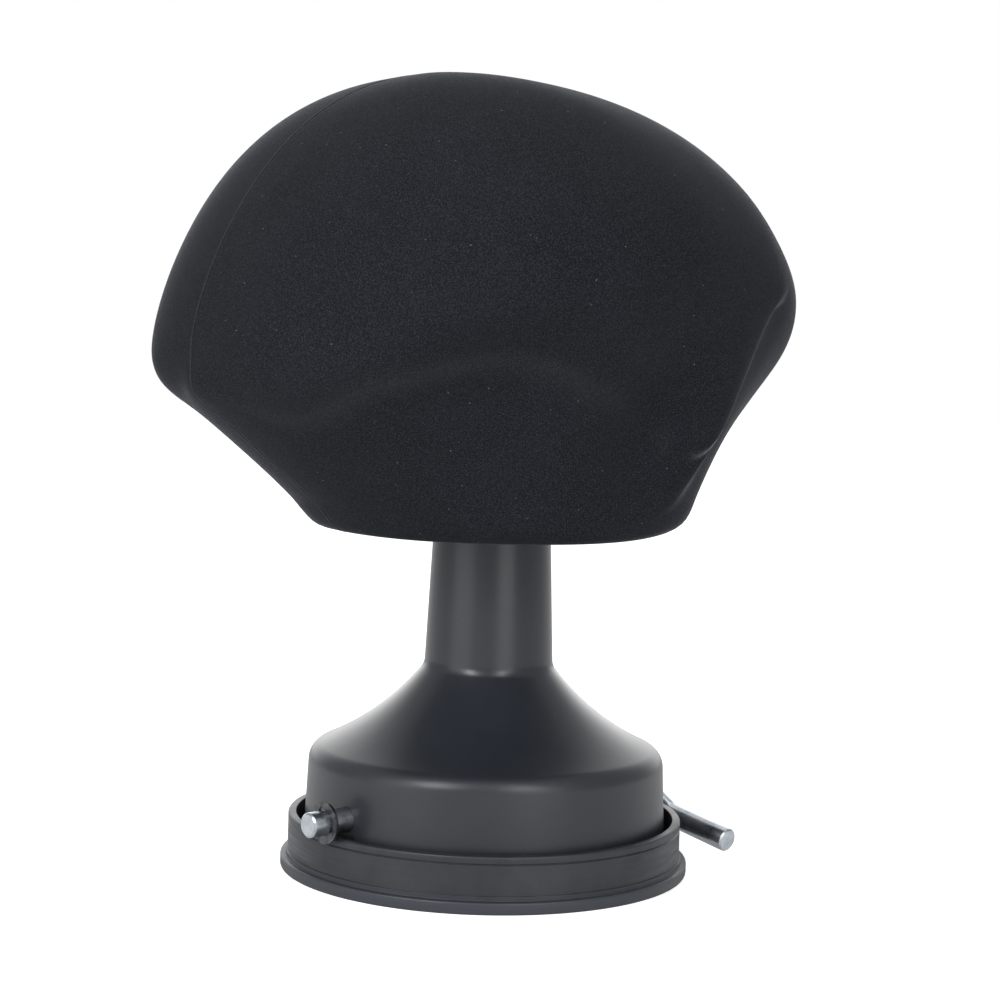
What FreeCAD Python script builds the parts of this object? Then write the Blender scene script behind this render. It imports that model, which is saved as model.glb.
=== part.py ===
import FreeCAD, Part
import math
import os
import re
import Sketcher

# A wig stand: a flocked moulded head on a bell shaped foot that a lever and a rubber cup hold to the table.
# Millimetres. Z is up and the table is z = 0 under the axis of the bell. The face looks towards -Y.
# The lever shaft lies along Y and its arm points to -X when the cup is released.

doc = FreeCAD.newDocument("wig_stand")
sheet = doc.addObject("Spreadsheet::Sheet", "Sizes")

SIZES = {
    # head
    "head_length": 197.0,
    "head_width": 163.0,
    "head_height": 128.0,
    "head_foot_level": 98.5,
    "head_wall": 3.0,
    "head_turn": 10.5,
    "crown_set_back": 22.0,
    "foot_length": 112.0,
    "foot_width": 99.0,
    "foot_round": 8.0,
    "foot_flat": 4.0,
    "under_hollow": 6.0,
    # socket that takes the neck, and its fasteners
    "socket_flange_radius": 33.0,
    "socket_flange": 3.0,
    "socket_wall": 3.5,
    "socket_top": 4.0,
    "nut_pocket_depth": 3.0,
    "nut_pocket_wall": 3.0,
    "screw_diameter": 6.0,
    "screw_head_radius": 6.0,
    "screw_head": 3.8,
    "screw_chamfer": 1.2,
    "screw_end": 2.0,
    "screw_key": 4.0,
    "screw_key_depth": 2.0,
    "washer_radius": 9.0,
    "washer": 1.6,
    "nut_across": 10.0,
    "nut": 5.0,
    # bell
    "neck_top_level": 109.0,
    "neck_top_radius": 16.5,
    "neck_foot_level": 60.7,
    "neck_foot_radius": 18.55,
    "throat_round": 5.2,
    "throat_spread": 1.15,
    "flare_round": 77.0,
    "shoulder_round": 5.5,
    "skirt_foot_radius": 52.7,
    "skirt_draft": 1.2,
    "bell_wall": 2.5,
    "boss_radius": 7.0,
    "boss_length": 8.0,
    # rubber cup
    "lip_reach": 2.1,
    "lip_thickness": 3.5,
    "lip_nose": 1.4,
    "ring_wall": 2.3,
    "ring_top": 15.5,
    "ring_round": 0.7,
    "ring_step": 0.5,
    "ring_step_height": 1.3,
    "bead_drop": 2.3,
    "bead_width": 0.6,
    "bead_depth": 0.35,
    "disc_thickness": 4.0,
    "cup_boss_radius": 15.0,
    "cup_boss_top": 6.5,
    # insert moulded into the cup, and the stud screwed to it
    "insert_radius": 12.0,
    "insert_flange": 1.5,
    "insert_level": 3.0,
    "insert_hub_radius": 7.0,
    "insert_top": 8.0,
    "stud_radius": 4.0,
    "eye_thickness": 7.0,
    "eye_side": 4.0,
    "eye_bar": 4.0,
    "eye_round": 3.0,
    # lever, cam and clip
    "rod_diameter": 7.0,
    "rod_tail": 5.8,
    "elbow_round": 5.5,
    "elbow_dip": 29.0,
    "knee_reach": 17.0,
    "knee_round": 9.0,
    "arm_dip": 9.3,
    "arm_reach": 40.8,
    "rod_chamfer": 0.5,
    "cam_radius": 6.5,
    "cam_throw": 1.5,
    "cam_hub_radius": 6.0,
    "cam_hub_length": 10.0,
    "pin_place": 10.0,
    "pin_diameter": 2.5,
    "pin_length": 12.0,
    "clip_radius": 5.85,
    "clip_thickness": 0.7,
    "clip_mouth": 4.4,
    "clip_mouth_turn": 45.0,
    "clip_relief_radius": 1.5,
    "clip_relief_turn": 58.0,
    "groove_radius": 2.5,
    # clearances
    "running_gap": 0.1,
    "fit_gap": 0.05,
    "neck_gap": 0.25,
    "bolt_gap": 0.3,
    "cam_gap": 0.45,
    "cam_side_gap": 0.5,
    "ring_gap": 2.0,
    "shaft_gap": 0.7,
    "arm_gap": 0.5,
    "clip_gap": 1.95,
    "overrun": 5.0,
}

row = 1
for alias, value in SIZES.items():
    sheet.set("A%d" % row, alias)
    sheet.set("B%d" % row, str(value))
    sheet.setAlias("B%d" % row, alias)
    row += 1
doc.recompute()

# Sizes and places that follow from others: the throat starts at the neck, the skirt narrows upwards, the
# ring stands round it, the shaft lies over the ring, the lever's arm, the clip and the rod's end lie outside
# the ring, and the cam is a little thicker than the eye that it turns in.
DERIVED = {
    "throat_end_radius": "(neck_foot_radius + throat_spread)",
    "skirt_top_radius": "(skirt_foot_radius - skirt_draft)",
    "ring_radius": "(skirt_foot_radius + ring_gap + ring_wall)",
    "lip_radius": "(ring_radius + lip_reach)",
    "shaft_level": "(ring_top + shaft_gap + rod_diameter / 2)",
    "arm_offset": "(ring_radius + arm_gap + rod_diameter / 2)",
    "clip_place": "(ring_radius + clip_gap + clip_thickness / 2)",
    "shaft_end": "(clip_place + rod_tail)",
    "cam_thickness": "(eye_thickness + 2 * cam_side_gap)",
}


def size(alias):
    """The value of one size of the sheet, or of one that follows from others."""
    return value_of(alias) if alias in DERIVED else float(getattr(sheet, alias))


def bound(text):
    """An expression with derived sizes spelled out, in which each size is read from the sheet."""
    aliases = r"[a-z]+(?:_[a-z]+)+|\b(?:washer|nut|overrun)\b"

    def spelled(found):
        name = found.group(0)
        return bound(DERIVED[name]) if name in DERIVED else "Sizes." + name

    return re.sub(aliases, spelled, text)


def value_of(text):
    """What an expression comes to now, for the first drawing of a sketch."""
    result = sheet.evalExpression(bound(text))
    return float(getattr(result, "Value", result))


def bind(item, **expressions):
    """Ties properties of an object to expressions of the sheet's sizes."""
    for name, text in expressions.items():
        item.setExpression(name.replace("__", "."), bound(text))
    return item


def new_body(label):
    body = doc.addObject("PartDesign::Body", label)
    body.Label = label
    return body


def sketch_on(body, role, name):
    """A sketch on one of the body's own origin planes."""
    plane = [item for item in body.Origin.OriginFeatures if item.Role == role][0]
    sketch = body.newObject("Sketcher::SketchObject", name)
    sketch.AttachmentSupport = [(plane, "")]
    sketch.MapMode = "FlatFace"
    return sketch


def pin_vertex(sketch, edge, end, across, up):
    """Fixes one end of an edge at two expressions, or on an axis where the expression is zero."""
    for kind, axis, text in (("DistanceX", -2, across), ("DistanceY", -1, up)):
        if text == "0":
            sketch.addConstraint(Sketcher.Constraint("PointOnObject", edge, end, axis))
        else:
            number = sketch.addConstraint(Sketcher.Constraint(kind, -1, 1, edge, end, value_of(text)))
            sketch.setExpression("Constraints[%d]" % number, bound(text))


def polygon(sketch, corners):
    """A closed outline of straight edges, with each corner given by two expressions."""
    points = [FreeCAD.Vector(value_of(across), value_of(up), 0) for across, up in corners]
    first = sketch.GeometryCount
    for start, end in zip(points, points[1:] + points[:1]):
        sketch.addGeometry(Part.LineSegment(start, end), False)
    for number, (across, up) in enumerate(corners):
        edge = first + number
        following = first + (number + 1) % len(corners)
        sketch.addConstraint(Sketcher.Constraint("Coincident", edge, 2, following, 1))
        pin_vertex(sketch, edge, 1, across, up)


def circle(sketch, radius, across="0", up="0"):
    """A circle with its radius and centre given by expressions."""
    centre = FreeCAD.Vector(value_of(across), value_of(up), 0)
    edge = sketch.addGeometry(Part.Circle(centre, FreeCAD.Vector(0, 0, 1), value_of(radius)), False)
    number = sketch.addConstraint(Sketcher.Constraint("Radius", edge, value_of(radius)))
    sketch.setExpression("Constraints[%d]" % number, bound(radius))
    pin_vertex(sketch, edge, 3, across, up)


def hexagon(sketch, across_flats):
    """A hexagon about the origin, from its width across the flats."""
    corners = []
    for number in range(6):
        turn = 60 * number
        corners.append(("%s / sqrt(3) * cos(%d deg)" % (across_flats, turn),
                        "%s / sqrt(3) * sin(%d deg)" % (across_flats, turn) if turn % 180 else "0"))
    polygon(sketch, corners)


def revolve(body, sketch):
    feature = body.newObject("PartDesign::Revolution", body.Label + "_turned")
    feature.Profile = sketch
    feature.ReferenceAxis = (sketch, ["V_Axis"])
    feature.Angle = 360
    sketch.Visibility = False
    doc.recompute()
    return feature


def extrude(body, sketch, length, kind="PartDesign::Pocket", reverse=False, both=False):
    """A pocket or a pad whose length is an expression."""
    feature = body.newObject(kind, sketch.Name + "_feature")
    feature.Profile = sketch
    feature.Reversed = reverse
    feature.Midplane = both
    bind(feature, Length=length)
    doc.recompute()
    return feature


def cylinder(name, radius, length, place=("0", "0", "0"), along="Z"):
    """A cylinder along Z or Y, with its start point given by expressions."""
    item = doc.addObject("Part::Cylinder", name)
    bind(item, Radius=radius, Height=length)
    if along == "Y":
        item.Placement.Rotation = FreeCAD.Rotation(FreeCAD.Vector(1, 0, 0), -90)
    bind(item, Placement__Base__x=place[0], Placement__Base__y=place[1], Placement__Base__z=place[2])
    return item


def box(name, sides, place):
    """A box with its three sides and its lowest corner given by expressions."""
    item = doc.addObject("Part::Box", name)
    bind(item, Length=sides[0], Width=sides[1], Height=sides[2])
    bind(item, Placement__Base__x=place[0], Placement__Base__y=place[1], Placement__Base__z=place[2])
    return item


def fuse(name, *items):
    result = doc.addObject("Part::MultiFuse", name)
    result.Shapes = list(items)
    result.Refine = True
    return result


def cut(name, base, *tools):
    """The base less the tools, one after another."""
    for number, tool in enumerate(tools):
        result = doc.addObject("Part::Cut", "%s_cut_%d" % (name, number))
        result.Base = base
        result.Tool = tool
        result.Refine = True
        base = result
    base.Label = name
    return base


# The head is drawn from the nape round to the face. Stations are degrees about the axis, 0 at the nape.
# Plan shares are of an ellipse on the head's length and width, level shares are of the head's height.
# The rim is the hairline crease: low behind the ear, an arch over it, a tab before it, high on the forehead.

WIDEST_STATIONS = (0, 30, 60, 90, 120, 150, 180)
WIDEST_PLAN_SHARES = (0.97, 1.065, 1.125, 1.045, 0.95, 0.945, 0.995)
WIDEST_LEVEL_SHARES = (0.4, 0.335, 0.5, 0.575, 0.56, 0.515, 0.43)
ROUND_STATIONS = (0, 45, 90, 135, 180)
SIDE_ROUND_SHARES = (1.04, 0.97, 0.85, 0.81, 0.79)
CROWN_ROUND_SHARES = (1.7, 1.325, 1.02, 0.9, 0.87)
RIM_STATIONS = (0, 20, 40, 60, 80, 100, 115, 130, 150, 180)
RIM_PLAN_SHARES = (0.97, 0.885, 1.005, 0.895, 0.845, 0.72, 0.83, 0.895, 0.93, 0.95)
RIM_LEVEL_SHARES = (0.305, 0.25, 0.34, 0.405, 0.335, 0.27, 0.18, 0.5, 0.515, 0.355)
FOOT_PLAN_SHARES = (0.97, 1.045, 1.13, 1.09, 1.08)

# how hollow the surface under the rim is, and how large the round at the foot is, as shares of their sizes
UNDER_HOLLOW_SHARES = (1.15, 1.0, 0.9, 0.85, 0.9)
FOOT_ROUND_SHARES = (0.5, 0.5, 0.6, 1.15, 1.35)

AROUND_POLES = 31
DOME_POLES = 20
UNDER_POLES = 9
# how much of the poles lie on the crown, before the dome turns in to the rim
DOME_SHARE = 0.8
# how near the poles of the foot's round come to its corner
FOOT_CORNER_SHARE = 0.25


def along_stations(angle, stations, shares):
    """Smooth value between the stations, level at the nape and at the face."""
    last = len(stations) - 1
    slopes = [0.0] * (last + 1)
    for number in range(1, last):
        rise = shares[number + 1] - shares[number - 1]
        slopes[number] = rise / (stations[number + 1] - stations[number - 1])
    for number in range(last):
        start, end = stations[number], stations[number + 1]
        if angle <= end:
            break
    span = end - start
    part = (angle - start) / span
    first, second = shares[number], shares[number + 1]
    values = first * (1 + 2 * part) * (1 - part) ** 2 + second * (3 - 2 * part) * part ** 2
    bends = slopes[number] * part * (1 - part) ** 2 - slopes[number + 1] * part ** 2 * (1 - part)
    return values + bends * span


def ellipse_radius(angle, length, width):
    turn = math.radians(angle)
    return 1 / math.hypot(math.cos(turn) / (length / 2), math.sin(turn) / (width / 2))


def knots_for(count):
    """Knots of an even cubic spline with this many poles that starts and ends at its outer poles."""
    return [number / (count - 3) for number in range(count - 2)]


def pole_places(count):
    """Where along the spline, from 0 to 1, each pole acts most."""
    knots = knots_for(count)
    full = [knots[0]] * 3 + knots + [knots[-1]] * 3
    return [sum(full[number + 1:number + 4]) / 3 for number in range(count)]


def head_profile(angle, inset):
    """Radius and level of the poles of one upright section: first over the dome, then under the rim."""
    length = size("head_length")
    width = size("head_width")
    height = size("head_height")
    foot = size("head_foot_level")
    plan = ellipse_radius(angle, length, width)
    widest = plan * along_stations(angle, WIDEST_STATIONS, WIDEST_PLAN_SHARES) - inset
    widest_level = foot + height * along_stations(angle, WIDEST_STATIONS, WIDEST_LEVEL_SHARES)
    top = foot + height - inset
    side_round = along_stations(angle, ROUND_STATIONS, SIDE_ROUND_SHARES)
    crown_round = along_stations(angle, ROUND_STATIONS, CROWN_ROUND_SHARES)
    rim = plan * along_stations(angle, RIM_STATIONS, RIM_PLAN_SHARES)
    rim_level = foot + height * along_stations(angle, RIM_STATIONS, RIM_LEVEL_SHARES)
    foot_plan = ellipse_radius(angle, size("foot_length"), size("foot_width"))
    foot_radius = foot_plan * along_stations(angle, ROUND_STATIONS, FOOT_PLAN_SHARES)
    slope = math.atan2(rim_level - foot, rim - foot_radius)
    rim_level += inset * (1 - math.sin(slope)) / math.cos(slope)
    foot_radius -= inset * (1 - math.cos(slope)) / math.sin(slope)
    foot += inset
    rim -= inset
    dome = []
    for place in pole_places(DOME_POLES):
        if place < DOME_SHARE:
            turn = math.radians(90) * place / DOME_SHARE
            fall = math.cos(turn) ** crown_round
            radius = widest * math.sin(turn) ** side_round
            level = widest_level + (top - widest_level) * fall
        else:
            part = (place - DOME_SHARE) / (1 - DOME_SHARE)
            fall = 0.0
            radius = widest + (rim - widest) * part ** 2
            level = widest_level + (rim_level - widest_level) * part
        dome.append((radius, level, fall))
    # the pole beside the crown keeps the crown's level, so that the top is smooth
    dome[1] = (dome[1][0], top, 1.0)
    under = []
    hollow = size("under_hollow") * along_stations(angle, ROUND_STATIONS, UNDER_HOLLOW_SHARES)
    middle = (rim + foot_radius) / 2 - hollow
    middle_level = (rim_level + foot) / 2
    rounded = size("foot_round") * along_stations(angle, ROUND_STATIONS, FOOT_ROUND_SHARES)
    # the round inside is smaller by the wall
    rounded = max(rounded - inset, size("fit_gap"))
    end_level = foot + rounded
    for place in pole_places(UNDER_POLES):
        radius = rim * (1 - place) ** 2 + middle * 2 * place * (1 - place) + foot_radius * place ** 2
        level = rim_level * (1 - place) ** 2 + middle_level * 2 * place * (1 - place) + end_level * place ** 2
        under.append((radius, level, 0.0))
    corner = rounded * FOOT_CORNER_SHARE
    under.append((foot_radius - corner, foot + corner, 0.0))
    for part in (0, 0.5, 1):
        under.append((foot_radius - rounded - size("foot_flat") * part, foot, 0.0))
    return dome, under


def skin(rows):
    """A face on a spline surface through rows of poles."""
    surface = Part.BSplineSurface()
    across = knots_for(len(rows))
    along = knots_for(len(rows[0]))
    times_across = [4] + [1] * (len(across) - 2) + [4]
    times_along = [4] + [1] * (len(along) - 2) + [4]
    surface.buildFromPolesMultsKnots(rows, times_across, times_along, across, along, False, False, 3, 3)
    return Part.Face(surface)


def edges_where(faces, test):
    """The edges of the faces whose ends and middle all pass the test."""
    found = []
    for face in faces:
        for edge in face.Edges:
            if edge.Length < size("fit_gap"):
                continue
            low, high = edge.ParameterRange
            if all(test(edge.valueAt(low + (high - low) * share)) for share in (0, 0.3, 0.5, 0.7, 1)):
                found.append(edge)
    return found


def half_head(inset):
    """A closed solid of the half towards +X, right when the face is looked at, drawn in by the inset."""
    dome_rows = []
    under_rows = []
    places = pole_places(AROUND_POLES)
    for number, place in enumerate(places):
        angle = 180 * place
        # the poles beside the mid plane keep its level and depth, so that the halves meet smoothly
        held = {1: 0.0, AROUND_POLES - 2: 180.0}.get(number)
        turn = math.radians(angle)
        rows = []
        for line in head_profile(angle if held is None else held, inset):
            poles = []
            for radius, level, fall in line:
                away = radius * math.cos(turn if held is None else math.radians(held))
                side = radius * math.sin(turn) if 0 < number < AROUND_POLES - 1 else 0
                poles.append(FreeCAD.Vector(side, away + size("crown_set_back") * fall, level))
            rows.append(poles)
        dome_rows.append(rows[0])
        under_rows.append(rows[1])
    faces = [skin(dome_rows), skin(under_rows)]
    small = size("fit_gap") / 10
    foot = size("head_foot_level") + inset
    foot_edges = edges_where(faces[1:], lambda point: abs(point.z - foot) < small)
    foot_edges = [edge for edge in foot_edges if edge.Length > size("foot_width") / 2]
    ends = [vertex.Point for vertex in foot_edges[0].Vertexes]
    chord = Part.LineSegment(ends[0], ends[1]).toShape()
    faces.append(Part.Face(Part.Wire(Part.sortEdges([foot_edges[0], chord])[0])))
    middle_edges = edges_where(faces[:2], lambda point: abs(point.x) < small)
    faces.append(Part.Face(Part.Wire(Part.sortEdges(middle_edges + [chord])[0])))
    shell = Part.Compound(faces)
    shell.sewShape()
    solid = Part.Solid(shell.Shells[0])
    if solid.Volume < 0:
        solid.reverse()
    return solid


def neck_radius_at(level):
    """The radius of the tapered neck at a level."""
    share = "(%s - neck_foot_level) / (neck_top_level - neck_foot_level)" % level
    return "neck_foot_radius - (neck_foot_radius - neck_top_radius) * " + share


def make_head_shells():
    """Two flocked mouldings that meet on the head's mid plane, each with half of the neck hole."""
    right = half_head(0).cut(half_head(size("head_wall")))
    left = right.mirror(FreeCAD.Vector(0, 0, 0), FreeCAD.Vector(1, 0, 0))
    for label, shape in (("head_shell_right", right), ("head_shell_left", left)):
        moulding = doc.addObject("Part::Feature", label + "_moulding")
        moulding.Shape = shape
        hole = cylinder(label + "_neck_hole", neck_radius_at("head_foot_level") + " + neck_gap",
                        "head_wall + 2 * overrun", ("0", "0", "head_foot_level - overrun"))
        shell = cut(label, moulding, hole)
        shell.Placement = FreeCAD.Placement(FreeCAD.Vector(0, 0, 0),
                                            FreeCAD.Rotation(FreeCAD.Vector(0, 0, 1), -size("head_turn")))
        bind(shell, Placement__Rotation__Angle="-head_turn * 1 deg")


def make_head_socket():
    """A moulded socket glued into the head's foot. The neck fills it and its top carries the nut."""
    body = new_body("head_socket")
    sketch = sketch_on(body, "XZ_Plane", "socket_outline")
    flange = "head_foot_level + head_wall"
    bore = neck_radius_at("(%s)" % flange) + " + neck_gap"
    outer = bore + " + socket_wall"
    top = "neck_top_level + socket_top"
    pocket = "nut_across / sqrt(3) + nut_pocket_wall"
    hole = "screw_diameter / 2 + bolt_gap"
    polygon(sketch, [(bore, flange), ("socket_flange_radius", flange),
                     ("socket_flange_radius", flange + " + socket_flange"),
                     (outer, flange + " + socket_flange"), (outer, top), (pocket, top),
                     (pocket, top + " + nut_pocket_depth"), (hole, top + " + nut_pocket_depth"),
                     (hole, "neck_top_level"), (bore, "neck_top_level")])
    revolve(body, sketch)
    key = sketch_on(body, "XY_Plane", "nut_pocket")
    bind(key, AttachmentOffset__Base__z=top + " + nut_pocket_depth")
    hexagon(key, "(nut_across + 2 * fit_gap)")
    extrude(body, key, "nut_pocket_depth")


def make_head_fasteners():
    """Screw, washer and nut: the screw goes up through the neck's top and the socket into the nut."""
    web = "neck_top_level - bell_wall"
    body = new_body("head_screw")
    sketch = sketch_on(body, "XZ_Plane", "screw_outline")
    under = web + " - washer"
    end = "neck_top_level + socket_top + nut + screw_end"
    head_end = under + " - screw_head"
    polygon(sketch, [("0", head_end), ("screw_head_radius - screw_chamfer", head_end),
                     ("screw_head_radius", head_end + " + screw_chamfer"), ("screw_head_radius", under),
                     ("screw_diameter / 2", under), ("screw_diameter / 2", end), ("0", end)])
    revolve(body, sketch)
    key = sketch_on(body, "XY_Plane", "screw_key_outline")
    bind(key, AttachmentOffset__Base__z=under + " - screw_head")
    hexagon(key, "screw_key")
    extrude(body, key, "screw_key_depth", reverse=True)
    body = new_body("head_washer")
    sketch = sketch_on(body, "XY_Plane", "washer_outline")
    bind(sketch, AttachmentOffset__Base__z=under)
    circle(sketch, "washer_radius")
    circle(sketch, "screw_diameter / 2 + bolt_gap")
    extrude(body, sketch, "washer", "PartDesign::Pad")
    body = new_body("head_nut")
    sketch = sketch_on(body, "XY_Plane", "nut_outline")
    bind(sketch, AttachmentOffset__Base__z="neck_top_level + socket_top")
    hexagon(sketch, "nut_across")
    circle(sketch, "screw_diameter / 2 + fit_gap")
    extrude(body, sketch, "nut", "PartDesign::Pad")


def make_bell_housing():
    """Neck, flared bell and skirt in one moulding, open below, with two bosses that carry the shaft."""
    body = new_body("bell_housing")
    sketch = sketch_on(body, "XZ_Plane", "bell_outline")

    def point(across, up):
        return FreeCAD.Vector(value_of(across), value_of(up), 0)

    top_middle = point("0", "neck_top_level")
    neck_top = point("neck_top_radius", "neck_top_level")
    neck_foot = point("neck_foot_radius", "neck_foot_level")
    # drawn near its true shape first, and then made exact by the tangencies below
    lean = math.atan2(neck_foot.x - neck_top.x, neck_top.y - neck_foot.y)
    throat = size("throat_round")
    flare = size("flare_round")
    throat_centre = neck_foot + FreeCAD.Vector(math.cos(lean), math.sin(lean), 0) * throat
    throat_in = throat_centre.x - size("throat_end_radius")
    throat_end = throat_centre - FreeCAD.Vector(throat_in, math.sqrt(throat ** 2 - throat_in ** 2), 0)
    flare_centre = throat_end + (throat_centre - throat_end) * (flare / throat)
    flare_end_radius = size("skirt_top_radius") - size("shoulder_round") / 2
    flare_drop = math.sqrt(flare ** 2 - (flare_centre.x - flare_end_radius) ** 2)
    flare_end = FreeCAD.Vector(flare_end_radius, flare_centre.y - flare_drop, 0)
    shoulder_end = FreeCAD.Vector(size("skirt_top_radius"), flare_end.y - size("shoulder_round"), 0)
    skirt_foot = point("skirt_foot_radius", "disc_thickness")
    foot_middle = point("0", "disc_thickness")

    def bowed(start, end, radius, towards):
        """An arc of about the given radius, bowed towards the axis (1) or away from it (-1)."""
        half = start.distanceToPoint(end) / 2
        bow = radius - math.sqrt(radius ** 2 - half ** 2)
        side = FreeCAD.Vector(end.y - start.y, start.x - end.x, 0).normalize() * bow * towards
        middle = (start + end) / 2 + side
        # a sketch's arcs run counterclockwise
        return Part.Arc(start, middle, end) if towards > 0 else Part.Arc(end, middle, start)

    edges = [
        Part.LineSegment(top_middle, neck_top),
        Part.LineSegment(neck_top, neck_foot),
        bowed(neck_foot, throat_end, size("throat_round"), 1),
        bowed(throat_end, flare_end, size("flare_round"), 1),
        bowed(flare_end, shoulder_end, size("shoulder_round"), -1),
        Part.LineSegment(shoulder_end, skirt_foot),
        Part.LineSegment(skirt_foot, foot_middle),
        Part.LineSegment(foot_middle, top_middle),
    ]
    for edge in edges:
        sketch.addGeometry(edge, False)
    geometry = sketch.Geometry

    def end_at(number, place):
        """Which end of an edge, 1 or 2, lies at a point."""
        first = geometry[number].StartPoint.distanceToPoint(place)
        second = geometry[number].EndPoint.distanceToPoint(place)
        return 1 if first < second else 2

    rules = []
    sizes = []

    def fix(kind, edge, place, text):
        rules.append(Sketcher.Constraint(kind, -1, 1, edge, end_at(edge, place), value_of(text)))
        sizes.append((len(rules) - 1, text))

    meetings = (neck_top, neck_foot, throat_end, flare_end, shoulder_end, skirt_foot, foot_middle, top_middle)
    for number, place in enumerate(meetings):
        following = (number + 1) % len(edges)
        kind = "Tangent" if 1 <= number <= 4 else "Coincident"
        ends = (number, end_at(number, place), following, end_at(following, place))
        rules.append(Sketcher.Constraint(kind, *ends))
    for edge, place, across, up in ((1, neck_top, "neck_top_radius", "neck_top_level"),
                                    (1, neck_foot, "neck_foot_radius", "neck_foot_level"),
                                    (5, skirt_foot, "skirt_foot_radius", "disc_thickness")):
        fix("DistanceX", edge, place, across)
        fix("DistanceY", edge, place, up)
    fix("DistanceY", 7, top_middle, "neck_top_level")
    fix("DistanceY", 7, foot_middle, "disc_thickness")
    fix("DistanceX", 3, throat_end, "throat_end_radius")
    fix("DistanceX", 5, shoulder_end, "skirt_top_radius")
    rules.append(Sketcher.Constraint("PointOnObject", 7, 1, -2))
    rules.append(Sketcher.Constraint("PointOnObject", 7, 2, -2))
    for edge, radius in ((2, "throat_round"), (3, "flare_round"), (4, "shoulder_round")):
        rules.append(Sketcher.Constraint("Radius", edge, value_of(radius)))
        sizes.append((len(rules) - 1, radius))
    sketch.addConstraint(rules)
    for number, text in sizes:
        sketch.setExpression("Constraints[%d]" % number, bound(text))
    revolve(body, sketch)
    floor = min(range(len(body.Shape.Faces)), key=lambda number: body.Shape.Faces[number].CenterOfMass.z)
    turned = body.Tip
    hollow = body.newObject("PartDesign::Thickness", "bell_hollow")
    hollow.Base = (turned, ["Face%d" % (floor + 1)])
    hollow.Reversed = True
    bind(hollow, Value="bell_wall")
    doc.recompute()
    for side, name in ((1, "nape"), (-1, "face")):
        boss = sketch_on(body, "XZ_Plane", "boss_" + name)
        # the plane's own normal points to -Y, and the boss starts inside the wall
        inner_end = "(skirt_foot_radius - bell_wall * 3 / 2 - boss_length)"
        bind(boss, AttachmentOffset__Base__z="%d * %s" % (-side, inner_end))
        circle(boss, "boss_radius", "0", "shaft_level")
        extrude(body, boss, "boss_length + bell_wall / 2", "PartDesign::Pad", reverse=side > 0)
    hole = sketch_on(body, "XZ_Plane", "shaft_hole")
    circle(hole, "rod_diameter / 2 + running_gap", "0", "shaft_level")
    extrude(body, hole, "2 * (skirt_foot_radius + overrun)", both=True)
    screw_hole = sketch_on(body, "XY_Plane", "screw_hole")
    bind(screw_hole, AttachmentOffset__Base__z="neck_top_level + overrun")
    circle(screw_hole, "screw_diameter / 2 + bolt_gap")
    extrude(body, screw_hole, "bell_wall + 2 * overrun")


# how far the middle of a quarter round lies from its corner, as a share of its radius
QUARTER_ROUND_SHARE = 1 - math.sqrt(0.5)


def make_suction_cup():
    """One rubber moulding: a flat disc with a lip, a ring wall round the skirt and a boss on the insert."""
    body = new_body("suction_cup")
    sketch = sketch_on(body, "XZ_Plane", "cup_outline")
    inner = "ring_radius - ring_wall"
    bead = "ring_top - bead_drop"
    cavity = "insert_radius + fit_gap"
    neck = "insert_hub_radius + fit_gap"
    flange_top = "insert_level + insert_flange"
    nose_middle = "lip_nose * %f" % QUARTER_ROUND_SHARE
    round_middle = "ring_round * %f" % QUARTER_ROUND_SHARE
    polygon(sketch, [
        ("0", "0"),
        ("lip_radius - lip_nose / 2", "0"),
        ("lip_radius", "lip_nose / 2"),
        ("lip_radius", "lip_thickness - lip_nose"),
        ("lip_radius - " + nose_middle, "lip_thickness - " + nose_middle),
        ("lip_radius - lip_nose", "lip_thickness"),
        ("ring_radius + ring_step", "lip_thickness"),
        ("ring_radius + ring_step", "lip_thickness + ring_step_height"),
        ("ring_radius", "lip_thickness + ring_step_height"),
        ("ring_radius", bead + " - bead_width / 2"),
        ("ring_radius - bead_depth", bead),
        ("ring_radius", bead + " + bead_width / 2"),
        ("ring_radius", "ring_top - ring_round"),
        ("ring_radius - " + round_middle, "ring_top - " + round_middle),
        ("ring_radius - ring_round", "ring_top"),
        (inner, "ring_top"),
        (inner, "disc_thickness"),
        ("cup_boss_radius", "disc_thickness"),
        ("cup_boss_radius", "cup_boss_top"),
        (neck, "cup_boss_top"),
        (neck, flange_top),
        (cavity, flange_top),
        (cavity, "insert_level"),
        ("0", "insert_level"),
    ])
    revolve(body, sketch)


def make_cup_insert():
    """A threaded steel insert moulded into the cup's centre."""
    body = new_body("cup_insert")
    sketch = sketch_on(body, "XZ_Plane", "insert_outline")
    bore = "stud_radius + fit_gap"
    flange_top = "insert_level + insert_flange"
    polygon(sketch, [(bore, "insert_level"), ("insert_radius", "insert_level"),
                     ("insert_radius", flange_top), ("insert_hub_radius", flange_top),
                     ("insert_hub_radius", "insert_top"), (bore, "insert_top")])
    revolve(body, sketch)


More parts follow.
